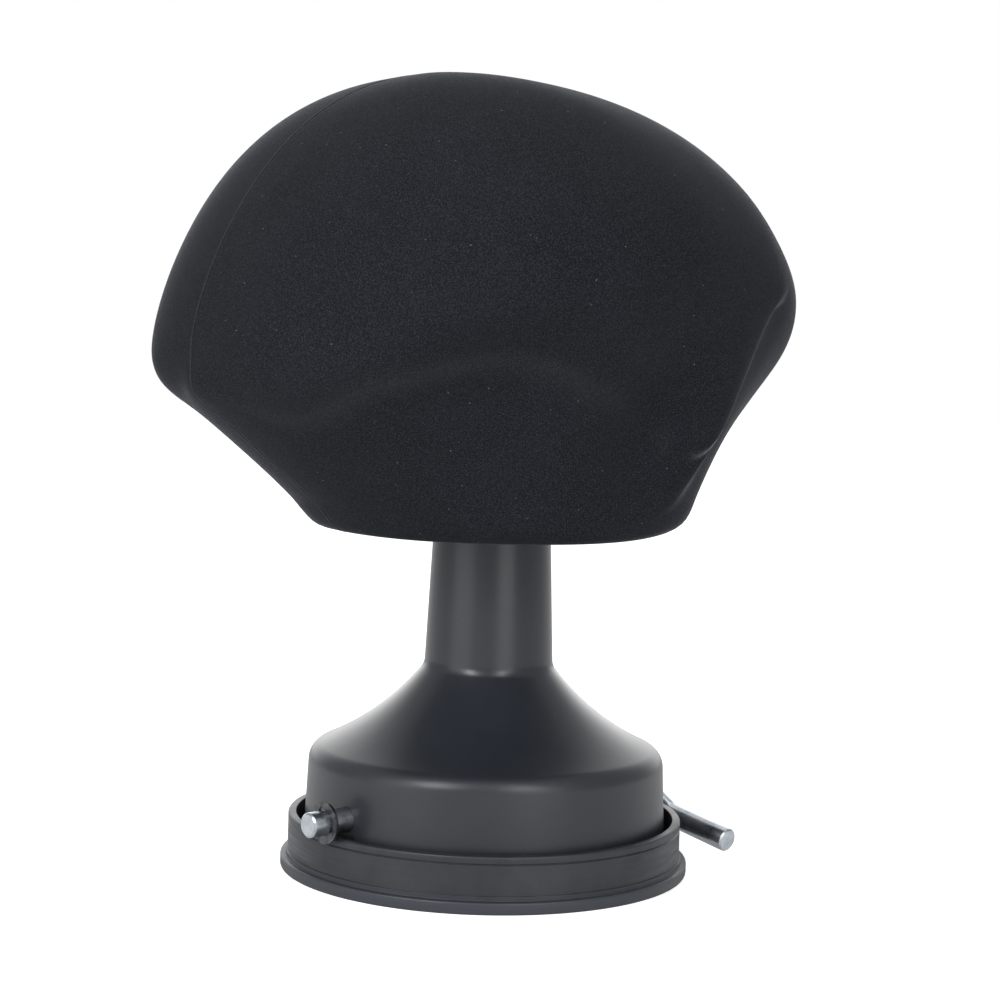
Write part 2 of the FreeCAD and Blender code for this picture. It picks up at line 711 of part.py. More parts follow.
def make_lift_stud():
    """A stud screwed into the insert. The cam turns in its slotted eye and lifts the middle of the cup."""
    half = "(cam_radius + cam_throw + running_gap * 3)"
    low = "shaft_level - cam_throw - cam_radius - cam_gap"
    height = "2 * (cam_radius + cam_gap)"
    bar_top = "%s + %s + eye_bar" % (low, height)
    shank = cylinder("stud_shank", "stud_radius", "insert_top - insert_level - fit_gap + eye_bar / 4",
                     ("0", "0", "insert_level + fit_gap"))
    block = box("stud_block", ("2 * (%s + eye_side)" % half, "eye_thickness", bar_top + " - insert_top"),
                ("-%s - eye_side" % half, "-eye_thickness / 2", "insert_top"))
    rounded = doc.addObject("Part::Fillet", "stud_rounded")
    rounded.Base = block
    doc.recompute()
    corners = []
    for number, edge in enumerate(block.Shape.Edges):
        middle = edge.CenterOfMass
        along = edge.tangentAt(edge.FirstParameter)
        if abs(along.y) > 0.9 and middle.z > size("shaft_level"):
            corners.append((number + 1, size("eye_round"), size("eye_round")))
    rounded.Edges = corners
    window = box("stud_window", ("2 * " + half, "eye_thickness + 2 * overrun", height),
                 ("-" + half, "-eye_thickness / 2 - overrun", low))
    cut("lift_stud", fuse("stud_whole", rounded, shank), window)


def make_lever_shaft():
    """A bent steel rod: shaft, elbow outside the ring, a short steep stretch, a knee and the arm."""
    radius = size("rod_diameter") / 2
    level = size("shaft_level")
    dip = math.radians(size("elbow_dip"))
    arm_dip = math.radians(size("arm_dip"))
    offset = -size("arm_offset")
    knee_drop = size("knee_reach") * math.tan(dip)
    arm_drop = (size("arm_reach") - size("knee_reach")) * math.tan(arm_dip)
    corners = [FreeCAD.Vector(0, size("shaft_end"), level), FreeCAD.Vector(0, offset, level),
               FreeCAD.Vector(-size("knee_reach"), offset, level - knee_drop),
               FreeCAD.Vector(-size("arm_reach"), offset, level - knee_drop - arm_drop)]
    edges = []
    start = corners[0]
    for number, bend in ((1, size("elbow_round")), (2, size("knee_round"))):
        before = (corners[number - 1] - corners[number]).normalize()
        after = (corners[number + 1] - corners[number]).normalize()
        half = before.getAngle(after) / 2
        enter = corners[number] + before * (bend / math.tan(half))
        leave = corners[number] + after * (bend / math.tan(half))
        inward = (before + after).normalize()
        middle = corners[number] + inward * (bend / math.sin(half) - bend)
        edges.append(Part.LineSegment(start, enter).toShape())
        edges.append(Part.Arc(enter, middle, leave).toShape())
        start = leave
    edges.append(Part.LineSegment(start, corners[3]).toShape())
    path = Part.Wire(edges)
    section = Part.Wire(Part.makeCircle(radius, corners[0], FreeCAD.Vector(0, -1, 0)))
    rod = path.makePipeShell([section], True, False)
    ends = []
    for edge in rod.Edges:
        middle = edge.CenterOfMass
        away = min(middle.distanceToPoint(corners[0]), middle.distanceToPoint(corners[3]))
        if len(edge.Vertexes) == 1 and away < radius / 4:
            ends.append(edge)
    rod = rod.makeChamfer(size("rod_chamfer"), ends)
    bent = doc.addObject("Part::Feature", "lever_rod")
    bent.Shape = rod
    width = "clip_thickness + running_gap"
    start = "clip_place - (%s) / 2" % width
    blank = cylinder("groove_blank", "rod_diameter", width, ("0", start, "shaft_level"), "Y")
    core = cylinder("groove_core", "groove_radius", width + " + 2 * overrun",
                    ("0", start + " - overrun", "shaft_level"), "Y")
    groove = cut("clip_groove", blank, core)
    pin_hole = cylinder("rod_pin_hole", "pin_diameter / 2 + fit_gap", "rod_diameter + 2 * overrun",
                        ("0", "pin_place", "shaft_level - rod_diameter / 2 - overrun"))
    cut("lever_shaft", bent, groove, pin_hole)


def make_eccentric_cam():
    """A cam with a hub, cross pinned to the shaft. Its throw points down while the cup is released."""
    disc = cylinder("cam_disc", "cam_radius", "cam_thickness",
                    ("0", "-cam_thickness / 2", "shaft_level - cam_throw"), "Y")
    hub = cylinder("cam_hub", "cam_hub_radius", "cam_hub_length",
                   ("0", "cam_thickness / 2", "shaft_level"), "Y")
    bore = cylinder("cam_bore", "rod_diameter / 2 + fit_gap", "cam_thickness + cam_hub_length + 2 * overrun",
                    ("0", "-cam_thickness / 2 - overrun", "shaft_level"), "Y")
    pin_hole = cylinder("cam_pin_hole", "pin_diameter / 2 + fit_gap", "2 * (cam_hub_radius + overrun)",
                        ("0", "pin_place", "shaft_level - cam_hub_radius - overrun"))
    cut("eccentric_cam", fuse("cam_whole", disc, hub), bore, pin_hole)
    pin = cylinder("cam_pin", "pin_diameter / 2", "pin_length",
                   ("0", "pin_place", "shaft_level - pin_length / 2"))
    pin.Label = "cam_pin"


def make_e_clip():
    """A spring steel clip with three lugs in the shaft's groove and a mouth."""
    place = "clip_place - clip_thickness / 2"
    disc = cylinder("clip_disc", "clip_radius", "clip_thickness", ("0", place, "shaft_level"), "Y")
    length = "clip_thickness + 2 * overrun"
    start = place + " - overrun"
    seat = cylinder("clip_seat", "groove_radius + fit_gap", length, ("0", start, "shaft_level"), "Y")
    reliefs = []
    # the lug opposite the mouth lies between the two reliefs
    for side, name in ((1, "low"), (-1, "high")):
        turn = "180 deg - clip_mouth_turn * 1 deg + %d * clip_relief_turn * 1 deg" % side
        relief = cylinder("clip_relief_" + name, "clip_relief_radius", length,
                          ("(groove_radius + clip_relief_radius / 3) * cos(%s)" % turn, start,
                           "shaft_level + (groove_radius + clip_relief_radius / 3) * sin(%s)" % turn), "Y")
        reliefs.append(relief)
    mouth = doc.addObject("Part::Box", "clip_mouth_slot")
    bind(mouth, Length="clip_radius + overrun", Width=length, Height="clip_mouth")
    turn = math.radians(size("clip_mouth_turn"))
    mouth.Placement = FreeCAD.Placement(FreeCAD.Vector(0, 0, 0),
                                        FreeCAD.Rotation(FreeCAD.Vector(0, 1, 0), math.degrees(turn)))
    bind(mouth, Placement__Rotation__Angle="clip_mouth_turn * 1 deg",
         Placement__Base__x="-clip_mouth / 2 * sin(clip_mouth_turn * 1 deg)", Placement__Base__y=start,
         Placement__Base__z="shaft_level - clip_mouth / 2 * cos(clip_mouth_turn * 1 deg)")
    cut("e_clip", disc, seat, reliefs[0], reliefs[1], mouth)


make_head_shells()
make_head_socket()
make_head_fasteners()
make_bell_housing()
make_suction_cup()
make_cup_insert()
make_lift_stud()
make_lever_shaft()
make_eccentric_cam()
make_e_clip()
doc.recompute()

NODES = ("head_shell_left", "head_shell_right", "head_socket", "head_screw", "head_washer", "head_nut",
         "bell_housing", "suction_cup", "cup_insert", "lift_stud", "lever_shaft", "eccentric_cam", "cam_pin",
         "e_clip")

for item in doc.Objects:
    if "Invalid" in item.State or "Error" in item.State:
        raise RuntimeError("%s failed: %s" % (item.Label, item.State))
for name in NODES:
    shape = doc.getObjectsByLabel(name)[0].Shape
    if shape.isNull() or not shape.isValid() or len(shape.Solids) != 1:
        raise RuntimeError("%s has no good solid: %d solids" % (name, len(shape.Solids)))

os.makedirs("parts", exist_ok=True)
for name in NODES:
    doc.getObjectsByLabel(name)[0].Shape.exportStep("parts/%s.step" % name)
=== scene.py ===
import math
import bmesh
import bpy
import numpy
from mathutils import Matrix, Vector


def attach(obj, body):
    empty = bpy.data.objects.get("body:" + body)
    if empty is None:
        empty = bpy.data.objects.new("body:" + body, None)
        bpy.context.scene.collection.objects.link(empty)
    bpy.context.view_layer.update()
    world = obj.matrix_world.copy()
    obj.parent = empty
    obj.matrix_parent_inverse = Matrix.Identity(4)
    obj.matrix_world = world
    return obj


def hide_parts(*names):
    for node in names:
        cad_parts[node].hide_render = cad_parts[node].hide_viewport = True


# A wig stand: a flocked head in two mouldings on a bell shaped foot, held to the table by a rubber cup
# that a bent steel lever lifts. Sizes are millimetres and become metres when a mesh is made.

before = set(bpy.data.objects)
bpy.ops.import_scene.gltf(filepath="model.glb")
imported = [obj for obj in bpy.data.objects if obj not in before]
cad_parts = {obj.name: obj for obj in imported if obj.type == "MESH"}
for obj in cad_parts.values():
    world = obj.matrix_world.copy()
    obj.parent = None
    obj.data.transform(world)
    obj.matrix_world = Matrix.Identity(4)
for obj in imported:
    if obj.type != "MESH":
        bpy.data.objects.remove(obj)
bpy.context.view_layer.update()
MM = 0.001


# Sizes

HEAD_LENGTH = 197.0
HEAD_WIDTH = 163.0
HEAD_HEIGHT = 128.0
HEAD_FOOT_LEVEL = 98.5
HEAD_WALL = 3.0
HEAD_TURN = 10.5
CROWN_SET_BACK = 22.0
FOOT_LENGTH = 112.0
FOOT_WIDTH = 99.0
FOOT_ROUND = 8.0
FOOT_FLAT = 4.0
UNDER_HOLLOW = 6.0

# Stations are degrees about the head's axis from the nape, 0, to the face, 180. Plan shares are of an
# ellipse on the head's length and width, level shares are of the head's height above its foot.
WIDEST_STATIONS = (0, 30, 60, 90, 120, 150, 180)
WIDEST_PLAN_SHARES = (0.97, 1.065, 1.125, 1.045, 0.95, 0.945, 0.995)
WIDEST_LEVEL_SHARES = (0.4, 0.335, 0.5, 0.575, 0.56, 0.515, 0.43)
ROUND_STATIONS = (0, 45, 90, 135, 180)
SIDE_ROUND_SHARES = (1.04, 0.97, 0.85, 0.81, 0.79)
CROWN_ROUND_SHARES = (1.7, 1.325, 1.02, 0.9, 0.87)
RIM_STATIONS = (0, 20, 40, 60, 80, 100, 115, 130, 150, 180)
RIM_PLAN_SHARES = (0.97, 0.885, 1.005, 0.895, 0.845, 0.72, 0.83, 0.895, 0.93, 0.95)
RIM_LEVEL_SHARES = (0.305, 0.25, 0.34, 0.405, 0.335, 0.27, 0.18, 0.5, 0.515, 0.355)
FOOT_PLAN_SHARES = (1.01, 1.095, 1.13, 1.09, 1.08)
HOLLOW_STATIONS = (0, 45, 90, 120, 150, 180)
UNDER_HOLLOW_SHARES = (0.85, 0.75, 0.65, 0.35, 0.87, 0.9)
FOOT_ROUND_SHARES = (0.95, 0.85, 0.72, 1.15, 1.35)

# Poles of the two smooth surfaces, how much of the dome's line lies above its widest place, and where the
# pole of the foot's corner lies: up by a share of the foot's round, and in by shares of that
AROUND_POLES = 31
DOME_POLES = 20
UNDER_POLES = 9
DOME_SHARE = 0.8
FOOT_CORNER_SHARE = 0.25
CORNER_DRAW_SHARES = (2.4, 2.4, 1.3, 1.0, 1.0)
NEARLY_ONE = 1 - 1e-9

# How softly the flock rounds the hairline crease, and how much lighter its edge is drawn, for rubbed pile and
# a painted highlight, at stations about the axis
CREASE_STATIONS = (0, 15, 35, 60, 85, 105, 113, 119, 127, 133, 139, 150, 180)
CREASE_ROUNDS = (2.0, 4.0, 7.5, 8.0, 7.5, 7.5, 4.0, 0.9, 0.8, 1.8, 4.5, 7.0, 7.0)
CREASE_WEAR_AND_HIGHLIGHT_SHARES = (0.01, 0.015, 0.02, 0.02, 0.012, 0.012, 0.1, 1.0, 1.0, 0.3, 0.0, 0.0, 0.0)
CREASE_WEAR_AND_HIGHLIGHT_WIDTHS = (2.0, 4.0, 4.5, 4.5, 4.5, 4.0, 1.2, 0.45, 0.45, 0.6, 1.0, 1.0, 1.0)

# The rounding ends at this many times its own size, and keeps clear of the foot's flat and round
CREASE_REACH = 6
FOOT_ROOM = 16.0

# At the seam one shell stands proud and is rubbed, and the other one sinks a little
SEAM_RISE = 0.0525
SEAM_DROP = 0.15
SEAM_WIDTH = 0.8
SEAM_WEAR = 0.06

# Places of the head's columns from nape to face, close together at the seam, and its rows, which crowd
# towards the crease
SEAM_COLUMNS = (0.0, 0.0012, 0.0024, 0.0037, 0.0052, 0.007, 0.0095, 0.013, 0.018)
SIDE_START = 0.024
SIDE_COLUMNS = 150
DOME_SAMPLES = 420
UNDER_SAMPLES = 260
DOME_ROWS = 130
UNDER_ROWS = 60
ROW_CROWDING = 1.35
HOLE_ROWS = 4

# Bell, from the neck's top to the skirt's foot, and how many steps draw each stretch of its outline
NECK_TOP_LEVEL = 109.0
NECK_TOP_RADIUS = 16.5
NECK_FOOT_LEVEL = 60.7
NECK_FOOT_RADIUS = 18.55
NECK_GAP = 0.25
THROAT_ROUND = 5.2
THROAT_END_RADIUS = 19.7
FLARE_ROUND = 77.0
SHOULDER_ROUND = 5.5
SKIRT_TOP_RADIUS = 51.5
SKIRT_FOOT_RADIUS = 52.7
BELL_WALL = 2.5
BOSS_RADIUS = 7.0
BOSS_LENGTH = 8.0
SCREW_HOLE_RADIUS = 3.3
NECK_EDGE = 0.4
HOLE_OVERRUN = 5.0
NECK_STEPS = 24
THROAT_STEPS = 10
FLARE_STEPS = 48
SHOULDER_STEPS = 16
SKIRT_STEPS = 12
SHOULDER_HALVINGS = 50

# Cup, with its lip, ring wall and bead, and the steel insert in its middle
LIP_RADIUS = 59.1
LIP_THICKNESS = 3.5
LIP_NOSE = 1.4
RING_RADIUS = 57.0
RING_WALL = 2.3
RING_TOP = 15.5
RING_ROUND = 0.7
RING_STEP = 0.5
RING_STEP_HEIGHT = 1.3
BEAD_DROP = 2.3
BEAD_WIDTH = 0.6
BEAD_DEPTH = 0.35
DISC_THICKNESS = 4.0
CUP_BOSS_RADIUS = 15.0
CUP_BOSS_TOP = 6.5
INSERT_LEVEL = 3.0
INSERT_FLANGE = 1.5
INSERT_RADIUS = 12.05
INSERT_HUB_RADIUS = 7.05
WALL_EDGE = 0.3
CUP_EDGE = 0.2
STEP_EDGE = 0.15
FINE_EDGE = 0.1

# Lever: the shaft, the elbow, the knee and the arm, with dips in degrees below level
SHAFT_LEVEL = 19.7
ROD_DIAMETER = 7.0
SHAFT_END = 65.1
ARM_OFFSET = 61.0
ELBOW_ROUND = 5.5
ELBOW_DIP = 29.0
KNEE_REACH = 17.0
KNEE_ROUND = 9.0
ARM_DIP = 9.3
ARM_REACH = 40.8
ROD_CHAMFER = 0.5
# Points of the chamfer's line: from the rod's end and in from its side
CHAMFER_SHARES = ((0.0, 1.0), (0.8, 0.12), (1.3, 0.0))
CLIP_PLACE = 59.3
CLIP_THICKNESS = 0.7
GROOVE_RADIUS = 2.5
GROOVE_EDGE = 0.05
GROOVE_CLEARANCE = 1.0
RUNNING_GAP = 0.1
BEND_STEPS = 16
RING_SPACING = 6.0

# How finely round forms are drawn, how much of a side a rounded corner may take, and how near points are
# that become one
TURNED_SIDES = 288
ROD_SIDES = 64
ROUND_STEPS = 4
ROUND_LIMIT = 0.45
WELD_GAP = 0.001

# Faces that meet at more degrees than this keep a sharp edge between them
HEAD_SHARP = 50
BELL_SHARP = 35
CUP_SHARP = 40
ROD_SHARP = 25


# Materials

# In a mix of colours, inputs 0, 6 and 7 are the factor and the two colours

def linear(code):
    """The linear colour of an sRGB hex value."""
    parts = [int(code[place:place + 2], 16) / 255 for place in (1, 3, 5)]
    return [part / 12.92 if part <= 0.04045 else ((part + 0.055) / 1.055) ** 2.4 for part in parts] + [1.0]


def fill(node, inputs):
    """Joins a node's inputs to the nodes or sockets given for them, or sets them to values."""
    for name, value in inputs.items():
        if isinstance(value, bpy.types.Node):
            value = next(output for output in value.outputs if output.enabled)
        if isinstance(value, bpy.types.NodeSocket):
            node.id_data.links.new(value, node.inputs[name])
        else:
            node.inputs[name].default_value = value


def add_node(tree, kind, inputs=None, **settings):
    """Adds a shader node, sets it up, and joins or fills its inputs."""
    made = tree.nodes.new("ShaderNode" + kind)
    for name, value in settings.items():
        setattr(made, name, value)
    fill(made, inputs or {})
    return made


def new_material(name):
    """A material, its tree, its principled shader, and the place on the object that its patterns follow."""
    material = bpy.data.materials.new(name)
    material.use_nodes = True
    tree = material.node_tree
    return material, tree, tree.nodes["Principled BSDF"], add_node(tree, "TexCoord").outputs["Object"]


def per(millimetres):
    """The texture scale that repeats a pattern once in this many millimetres."""
    return 1 / (millimetres * MM)


def specked(tree, place, colour, spacing, fade, chosen, shade):
    """A colour with specks strewn on it, a spacing apart in millimetres.

    The first range is where a speck fades in towards its middle, and the second one chooses which are drawn.
    """
    cells = add_node(tree, "TexVoronoi", {"Vector": place, "Scale": per(spacing)})
    near = add_node(tree, "MapRange", {"Value": cells.outputs["Distance"],
                                       "From Min": fade[0], "From Max": fade[1]})
    chance = add_node(tree, "TexWhiteNoise", {"Vector": cells.outputs["Position"]})
    kept = add_node(tree, "MapRange", {"Value": chance, "From Min": chosen[0], "From Max": chosen[1]})
    speck = add_node(tree, "Math", {0: near, 1: kept}, operation="MULTIPLY")
    return add_node(tree, "Mix", {0: speck, 6: colour, 7: linear(shade)}, data_type="RGBA")


def flocked_nylon():
    """Nylon flock on a moulded shell: the short upright pile drinks light face on and glows at the edges."""
    material, tree, shader, place = new_material("flocked_nylon_on_moulded_shell")
    # patches where the pile has been stroked one way or the other
    nap = add_node(tree, "TexNoise", {"Vector": place, "Scale": per(28), "Detail": 3.0, "Roughness": 0.6})
    stroked = add_node(tree, "MapRange", {"Value": nap, "From Min": 0.35, "From Max": 0.65})
    colour = add_node(tree, "Mix", {0: stroked, 6: linear("#0b0e13"), 7: linear("#101318")}, data_type="RGBA")
    # the pile is finer than this, and is drawn coarse enough to show
    pile = add_node(tree, "TexNoise", {"Vector": place, "Scale": per(0.36), "Detail": 2.0, "Roughness": 0.7})
    tips = add_node(tree, "MapRange", {"Value": pile, "From Min": 0.45, "From Max": 0.72})
    colour = add_node(tree, "Mix", {0: tips, 6: colour, 7: linear("#2b2e34")}, data_type="RGBA")
    # single loose fibres and dust that catch the light
    colour = specked(tree, place, colour, 2.6, (0.075, 0.045), (0.72, 0.95), "#6f7175")
    # lighter along the crease and the seam: the pile rubbed off, and along the crease's sharp edge a painted
    # highlight too
    wear_and_highlight = add_node(tree, "Attribute", attribute_name="wear_and_highlight").outputs["Fac"]
    patches = add_node(tree, "TexNoise", {"Vector": place, "Scale": per(1.3), "Detail": 2.0})
    ragged = add_node(tree, "MapRange", {"Value": patches, "From Min": 0.3, "From Max": 0.6, "To Min": 0.55})
    rubbed_and_highlit = add_node(tree, "Math", {0: wear_and_highlight, 1: ragged}, operation="MULTIPLY")
    colour = add_node(tree, "Mix", {0: rubbed_and_highlit, 6: colour, 7: linear("#9a9b9e")}, data_type="RGBA")
    bump = add_node(tree, "Bump", {"Height": pile, "Strength": 0.5, "Distance": 0.12 * MM})
    fill(shader, {"Base Color": colour, "Normal": bump, "Roughness": 0.95, "IOR": 1.53,
                  "Specular IOR Level": 0.15, "Sheen Weight": 0.22, "Sheen Roughness": 0.16,
                  "Sheen Tint": linear("#d3d6e2")})
    return material


def moulded_polypropylene():
    """Injection moulded polypropylene: satin black with a faint orange peel, brighter where it is held."""
    material, tree, shader, place = new_material("moulded_polypropylene")
    cloud = add_node(tree, "TexNoise", {"Vector": place, "Scale": per(22), "Detail": 4.0, "Roughness": 0.6})
    clouded = add_node(tree, "MapRange", {"Value": cloud, "From Min": 0.2, "From Max": 0.8})
    colour = add_node(tree, "Mix", {0: clouded, 6: linear("#202329"), 7: linear("#282b31")}, data_type="RGBA")
    # dust and small pits from the mould
    colour = specked(tree, place, colour, 2.2, (0.07, 0.04), (0.8, 1.0), "#55575b")
    # the neck is polished by the hands that carry the stand, and the skirt is left as moulded
    level = add_node(tree, "SeparateXYZ", {0: place}).outputs["Z"]
    polish = add_node(tree, "MapRange", {"Value": level, "From Min": 24 * MM, "From Max": 50 * MM,
                                         "To Min": 0.38, "To Max": 0.28})
    uneven = add_node(tree, "MapRange", {"Value": cloud, "From Min": 0.2, "From Max": 0.8, "To Max": 0.05})
    rough = add_node(tree, "Math", {0: polish, 1: uneven})
    # the mould's own grain is finer than this, and is drawn coarse enough to show
    grain = add_node(tree, "TexNoise", {"Vector": place, "Scale": per(0.9), "Detail": 3.0, "Roughness": 0.6})
    peel = add_node(tree, "TexNoise", {"Vector": place, "Scale": per(5), "Detail": 1.0})
    fine = add_node(tree, "Bump", {"Height": grain, "Strength": 0.25, "Distance": 0.02 * MM})
    bump = add_node(tree, "Bump", {"Height": peel, "Strength": 0.35, "Distance": 0.05 * MM, "Normal": fine})
    fill(shader, {"Base Color": colour, "Roughness": rough, "Normal": bump, "IOR": 1.49})
    return material


def moulded_rubber():
    """Moulded black rubber: duller than the bell, a little blue, with bloom in patches and handling marks."""
    material, tree, shader, place = new_material("moulded_rubber")
    bloom = add_node(tree, "TexNoise", {"Vector": place, "Scale": per(14), "Detail": 5.0, "Roughness": 0.65})
    bloomed = add_node(tree, "MapRange", {"Value": bloom, "From Min": 0.35, "From Max": 0.7})
    colour = add_node(tree, "Mix", {0: bloomed, 6: linear("#191c23"), 7: linear("#262a31")}, data_type="RGBA")
    # the lip is drawn lighter towards the table: painted light from the white floor
    level = add_node(tree, "SeparateXYZ", {0: place}).outputs["Z"]
    painted_floor_light = add_node(tree, "MapRange", {"Value": level, "From Min": 5 * MM, "From Max": 2.5 * MM,
                                        "To Max": 0.8})
    # painted floor light: a lighter colour near the table
    colour = add_node(tree, "Mix", {0: painted_floor_light, 6: colour, 7: linear("#343840")}, data_type="RGBA")
    colour = specked(tree, place, colour, 1.8, (0.09, 0.05), (0.8, 1.0), "#5b5d62")
    # marks left round the ring by wiping
    flat = add_node(tree, "Mapping", {"Vector": place, "Scale": (1.0, 1.0, 14.0)})
    wiped = add_node(tree, "TexNoise", {"Vector": flat, "Scale": per(16), "Detail": 3.0})
    rough = add_node(tree, "MapRange", {"Value": wiped, "From Min": 0.3, "From Max": 0.7,
                                        "To Min": 0.4, "To Max": 0.55})
    # the rubber's grain is finer than this, and is drawn coarse enough to show
    grain = add_node(tree, "TexNoise", {"Vector": place, "Scale": per(0.7), "Detail": 3.0, "Roughness": 0.65})
    bump = add_node(tree, "Bump", {"Height": grain, "Strength": 0.4, "Distance": 0.03 * MM})
    fill(shader, {"Base Color": colour, "Roughness": rough, "Normal": bump, "IOR": 1.52})
    return material


def zinc_plated_steel(name, swept):
    """Zinc plated steel: blue white over fine drawn lines, a little cloudy where the plating is thick."""
    material, tree, shader, place = new_material(name)
    if swept:
        place = add_node(tree, "Attribute", attribute_name="swept").outputs["Vector"]
    cloud = add_node(tree, "TexNoise", {"Vector": place, "Scale": per(4), "Detail": 4.0, "Roughness": 0.65})
    clouded = add_node(tree, "MapRange", {"Value": cloud, "From Min": 0.3, "From Max": 0.7})
    colour = add_node(tree, "Mix", {0: clouded, 6: linear("#a4acb4"), 7: linear("#c8cdd1")}, data_type="RGBA")
    rough = add_node(tree, "MapRange", {"Value": cloud, "From Min": 0.3, "From Max": 0.7,
                                        "To Min": 0.26, "To Max": 0.38})
    # the lines left by drawing are finer than this, and are drawn coarse enough to show
    drawn = add_node(tree, "Mapping", {"Vector": place, "Scale": (1.0, 1.0, 0.03)})
    lines = add_node(tree, "TexNoise", {"Vector": drawn, "Scale": per(0.35), "Detail": 3.0})
    dark = add_node(tree, "MapRange", {"Value": lines, "From Min": 0.55, "From Max": 0.8, "To Max": 0.5})
    colour = add_node(tree, "Mix", {0: dark, 6: colour, 7: linear("#757d84")}, data_type="RGBA")
    bump = add_node(tree, "Bump", {"Height": lines, "Strength": 0.35, "Distance": 0.02 * MM})
    fill(shader, {"Base Color": colour, "Roughness": rough, "Normal": bump, "Metallic": 1.0})
    return material


def blued_spring_steel():
    """Blued spring steel: dark, slightly oily metal, clouded by the heat that blued it."""
    material, tree, shader, place = new_material("blued_spring_steel")
    cloud = add_node(tree, "TexNoise", {"Vector": place, "Scale": per(2.5), "Detail": 4.0, "Roughness": 0.6})
    clouded = add_node(tree, "MapRange", {"Value": cloud, "From Min": 0.35, "From Max": 0.65})
    colour = add_node(tree, "Mix", {0: clouded, 6: linear("#4a4b4e"), 7: linear("#6c6c6e")}, data_type="RGBA")
    rough = add_node(tree, "MapRange", {"Value": cloud, "From Min": 0.3, "From Max": 0.7,
                                        "To Min": 0.3, "To Max": 0.42})
    grain = add_node(tree, "TexNoise", {"Vector": place, "Scale": per(0.25), "Detail": 2.0})
    bump = add_node(tree, "Bump", {"Height": grain, "Strength": 0.3, "Distance": 0.01 * MM})
    fill(shader, {"Base Color": colour, "Roughness": rough, "Normal": bump, "Metallic": 1.0})
    return material


def moulded_abs():
    """Moulded ABS: plain matt black, as it comes from the mould."""
    material, tree, shader, place = new_material("moulded_abs")
    cloud = add_node(tree, "TexNoise", {"Vector": place, "Scale": per(9), "Detail": 3.0})
    clouded = add_node(tree, "MapRange", {"Value": cloud, "From Min": 0.35, "From Max": 0.65})
    colour = add_node(tree, "Mix", {0: clouded, 6: linear("#26272a"), 7: linear("#303134")}, data_type="RGBA")
    grain = add_node(tree, "TexNoise", {"Vector": place, "Scale": per(0.5), "Detail": 2.0})
    bump = add_node(tree, "Bump", {"Height": grain, "Strength": 0.4, "Distance": 0.03 * MM})
    fill(shader, {"Base Color": colour, "Normal": bump, "Roughness": 0.6})
    return material


# Mesh making

def new_piece(name, mesh, material, slot, body, *nodes):
    """An object on its body that stands for the nodes it replaces."""
    piece = bpy.data.objects.new(name, mesh)
    bpy.context.scene.collection.objects.link(piece)
    mesh.materials.clear()
    mesh.materials.append(material)
    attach(piece, body)
    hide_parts(*nodes)


def mesh_from(name, points, faces):
    """A smooth shaded mesh from points in millimetres."""
    mesh = bpy.data.meshes.new(name)
    mesh.from_pydata([tuple(point) for point in numpy.asarray(points) * MM], [], faces)
    mesh.polygons.foreach_set("use_smooth", [True] * len(mesh.polygons))
    mesh.update()
    return mesh


def weld(mesh):
    """Joins points that lie together and turns the faces outwards."""
    work = bmesh.new()
    work.from_mesh(mesh)
    bmesh.ops.remove_doubles(work, verts=work.verts, dist=WELD_GAP * MM)
    bmesh.ops.recalc_face_normals(work, faces=work.faces)
    work.to_mesh(mesh)
    work.free()


def along_stations(angle, stations, shares):
    """Smooth value between the stations, level at the nape and at the face."""
    last = len(stations) - 1
    slopes = [0.0] * (last + 1)
    for number in range(1, last):
        rise = shares[number + 1] - shares[number - 1]
        slopes[number] = rise / (stations[number + 1] - stations[number - 1])
    number = min(numpy.searchsorted(stations, angle, side="right") - 1, last - 1)
    span = stations[number + 1] - stations[number]
    part = (angle - stations[number]) / span
    first, second = shares[number], shares[number + 1]
    leaving, arriving = slopes[number] * span, slopes[number + 1] * span
    return (first * (1 + 2 * part) * (1 - part) ** 2 + second * (3 - 2 * part) * part ** 2
            + leaving * part * (1 - part) ** 2 - arriving * part ** 2 * (1 - part))


def ellipse_radius(angle, length, width):
    """Distance from the middle of an ellipse to its edge, at an angle from its length."""
    turn = math.radians(angle)
    return 1 / math.hypot(math.cos(turn) / (length / 2), math.sin(turn) / (width / 2))


def full_knots(count):
    """Knots of an even cubic spline that starts and ends at its outer poles."""
    return numpy.concatenate([[0.0] * 3, numpy.linspace(0, 1, count - 2), [1.0] * 3])


def pole_places(count):
    """Where along the spline, from 0 to 1, each pole acts most."""
    knots = full_knots(count)
    return [knots[number + 1:number + 4].mean() for number in range(count)]


def spline_weights(count, places):
    """How much each pole counts at each place along an even cubic spline."""
    knots = full_knots(count)
    # the last place of all still lies in the last span
    places = numpy.clip(places, 0, NEARLY_ONE)
    weights = [((places >= knots[number]) & (places < knots[number + 1])).astype(float)
               for number in range(len(knots) - 1)]
    for degree in (1, 2, 3):
        raised = []
        for number in range(len(weights) - 1):
            total = numpy.zeros(len(places))
            rise = knots[number + degree] - knots[number]
            fall = knots[number + degree + 1] - knots[number + 1]
            if rise > 0:
                total += (places - knots[number]) / rise * weights[number]
            if fall > 0:
                total += (knots[number + degree + 1] - places) / fall * weights[number + 1]
            raised.append(total)
        weights = raised
    return numpy.array(weights).T


# Head

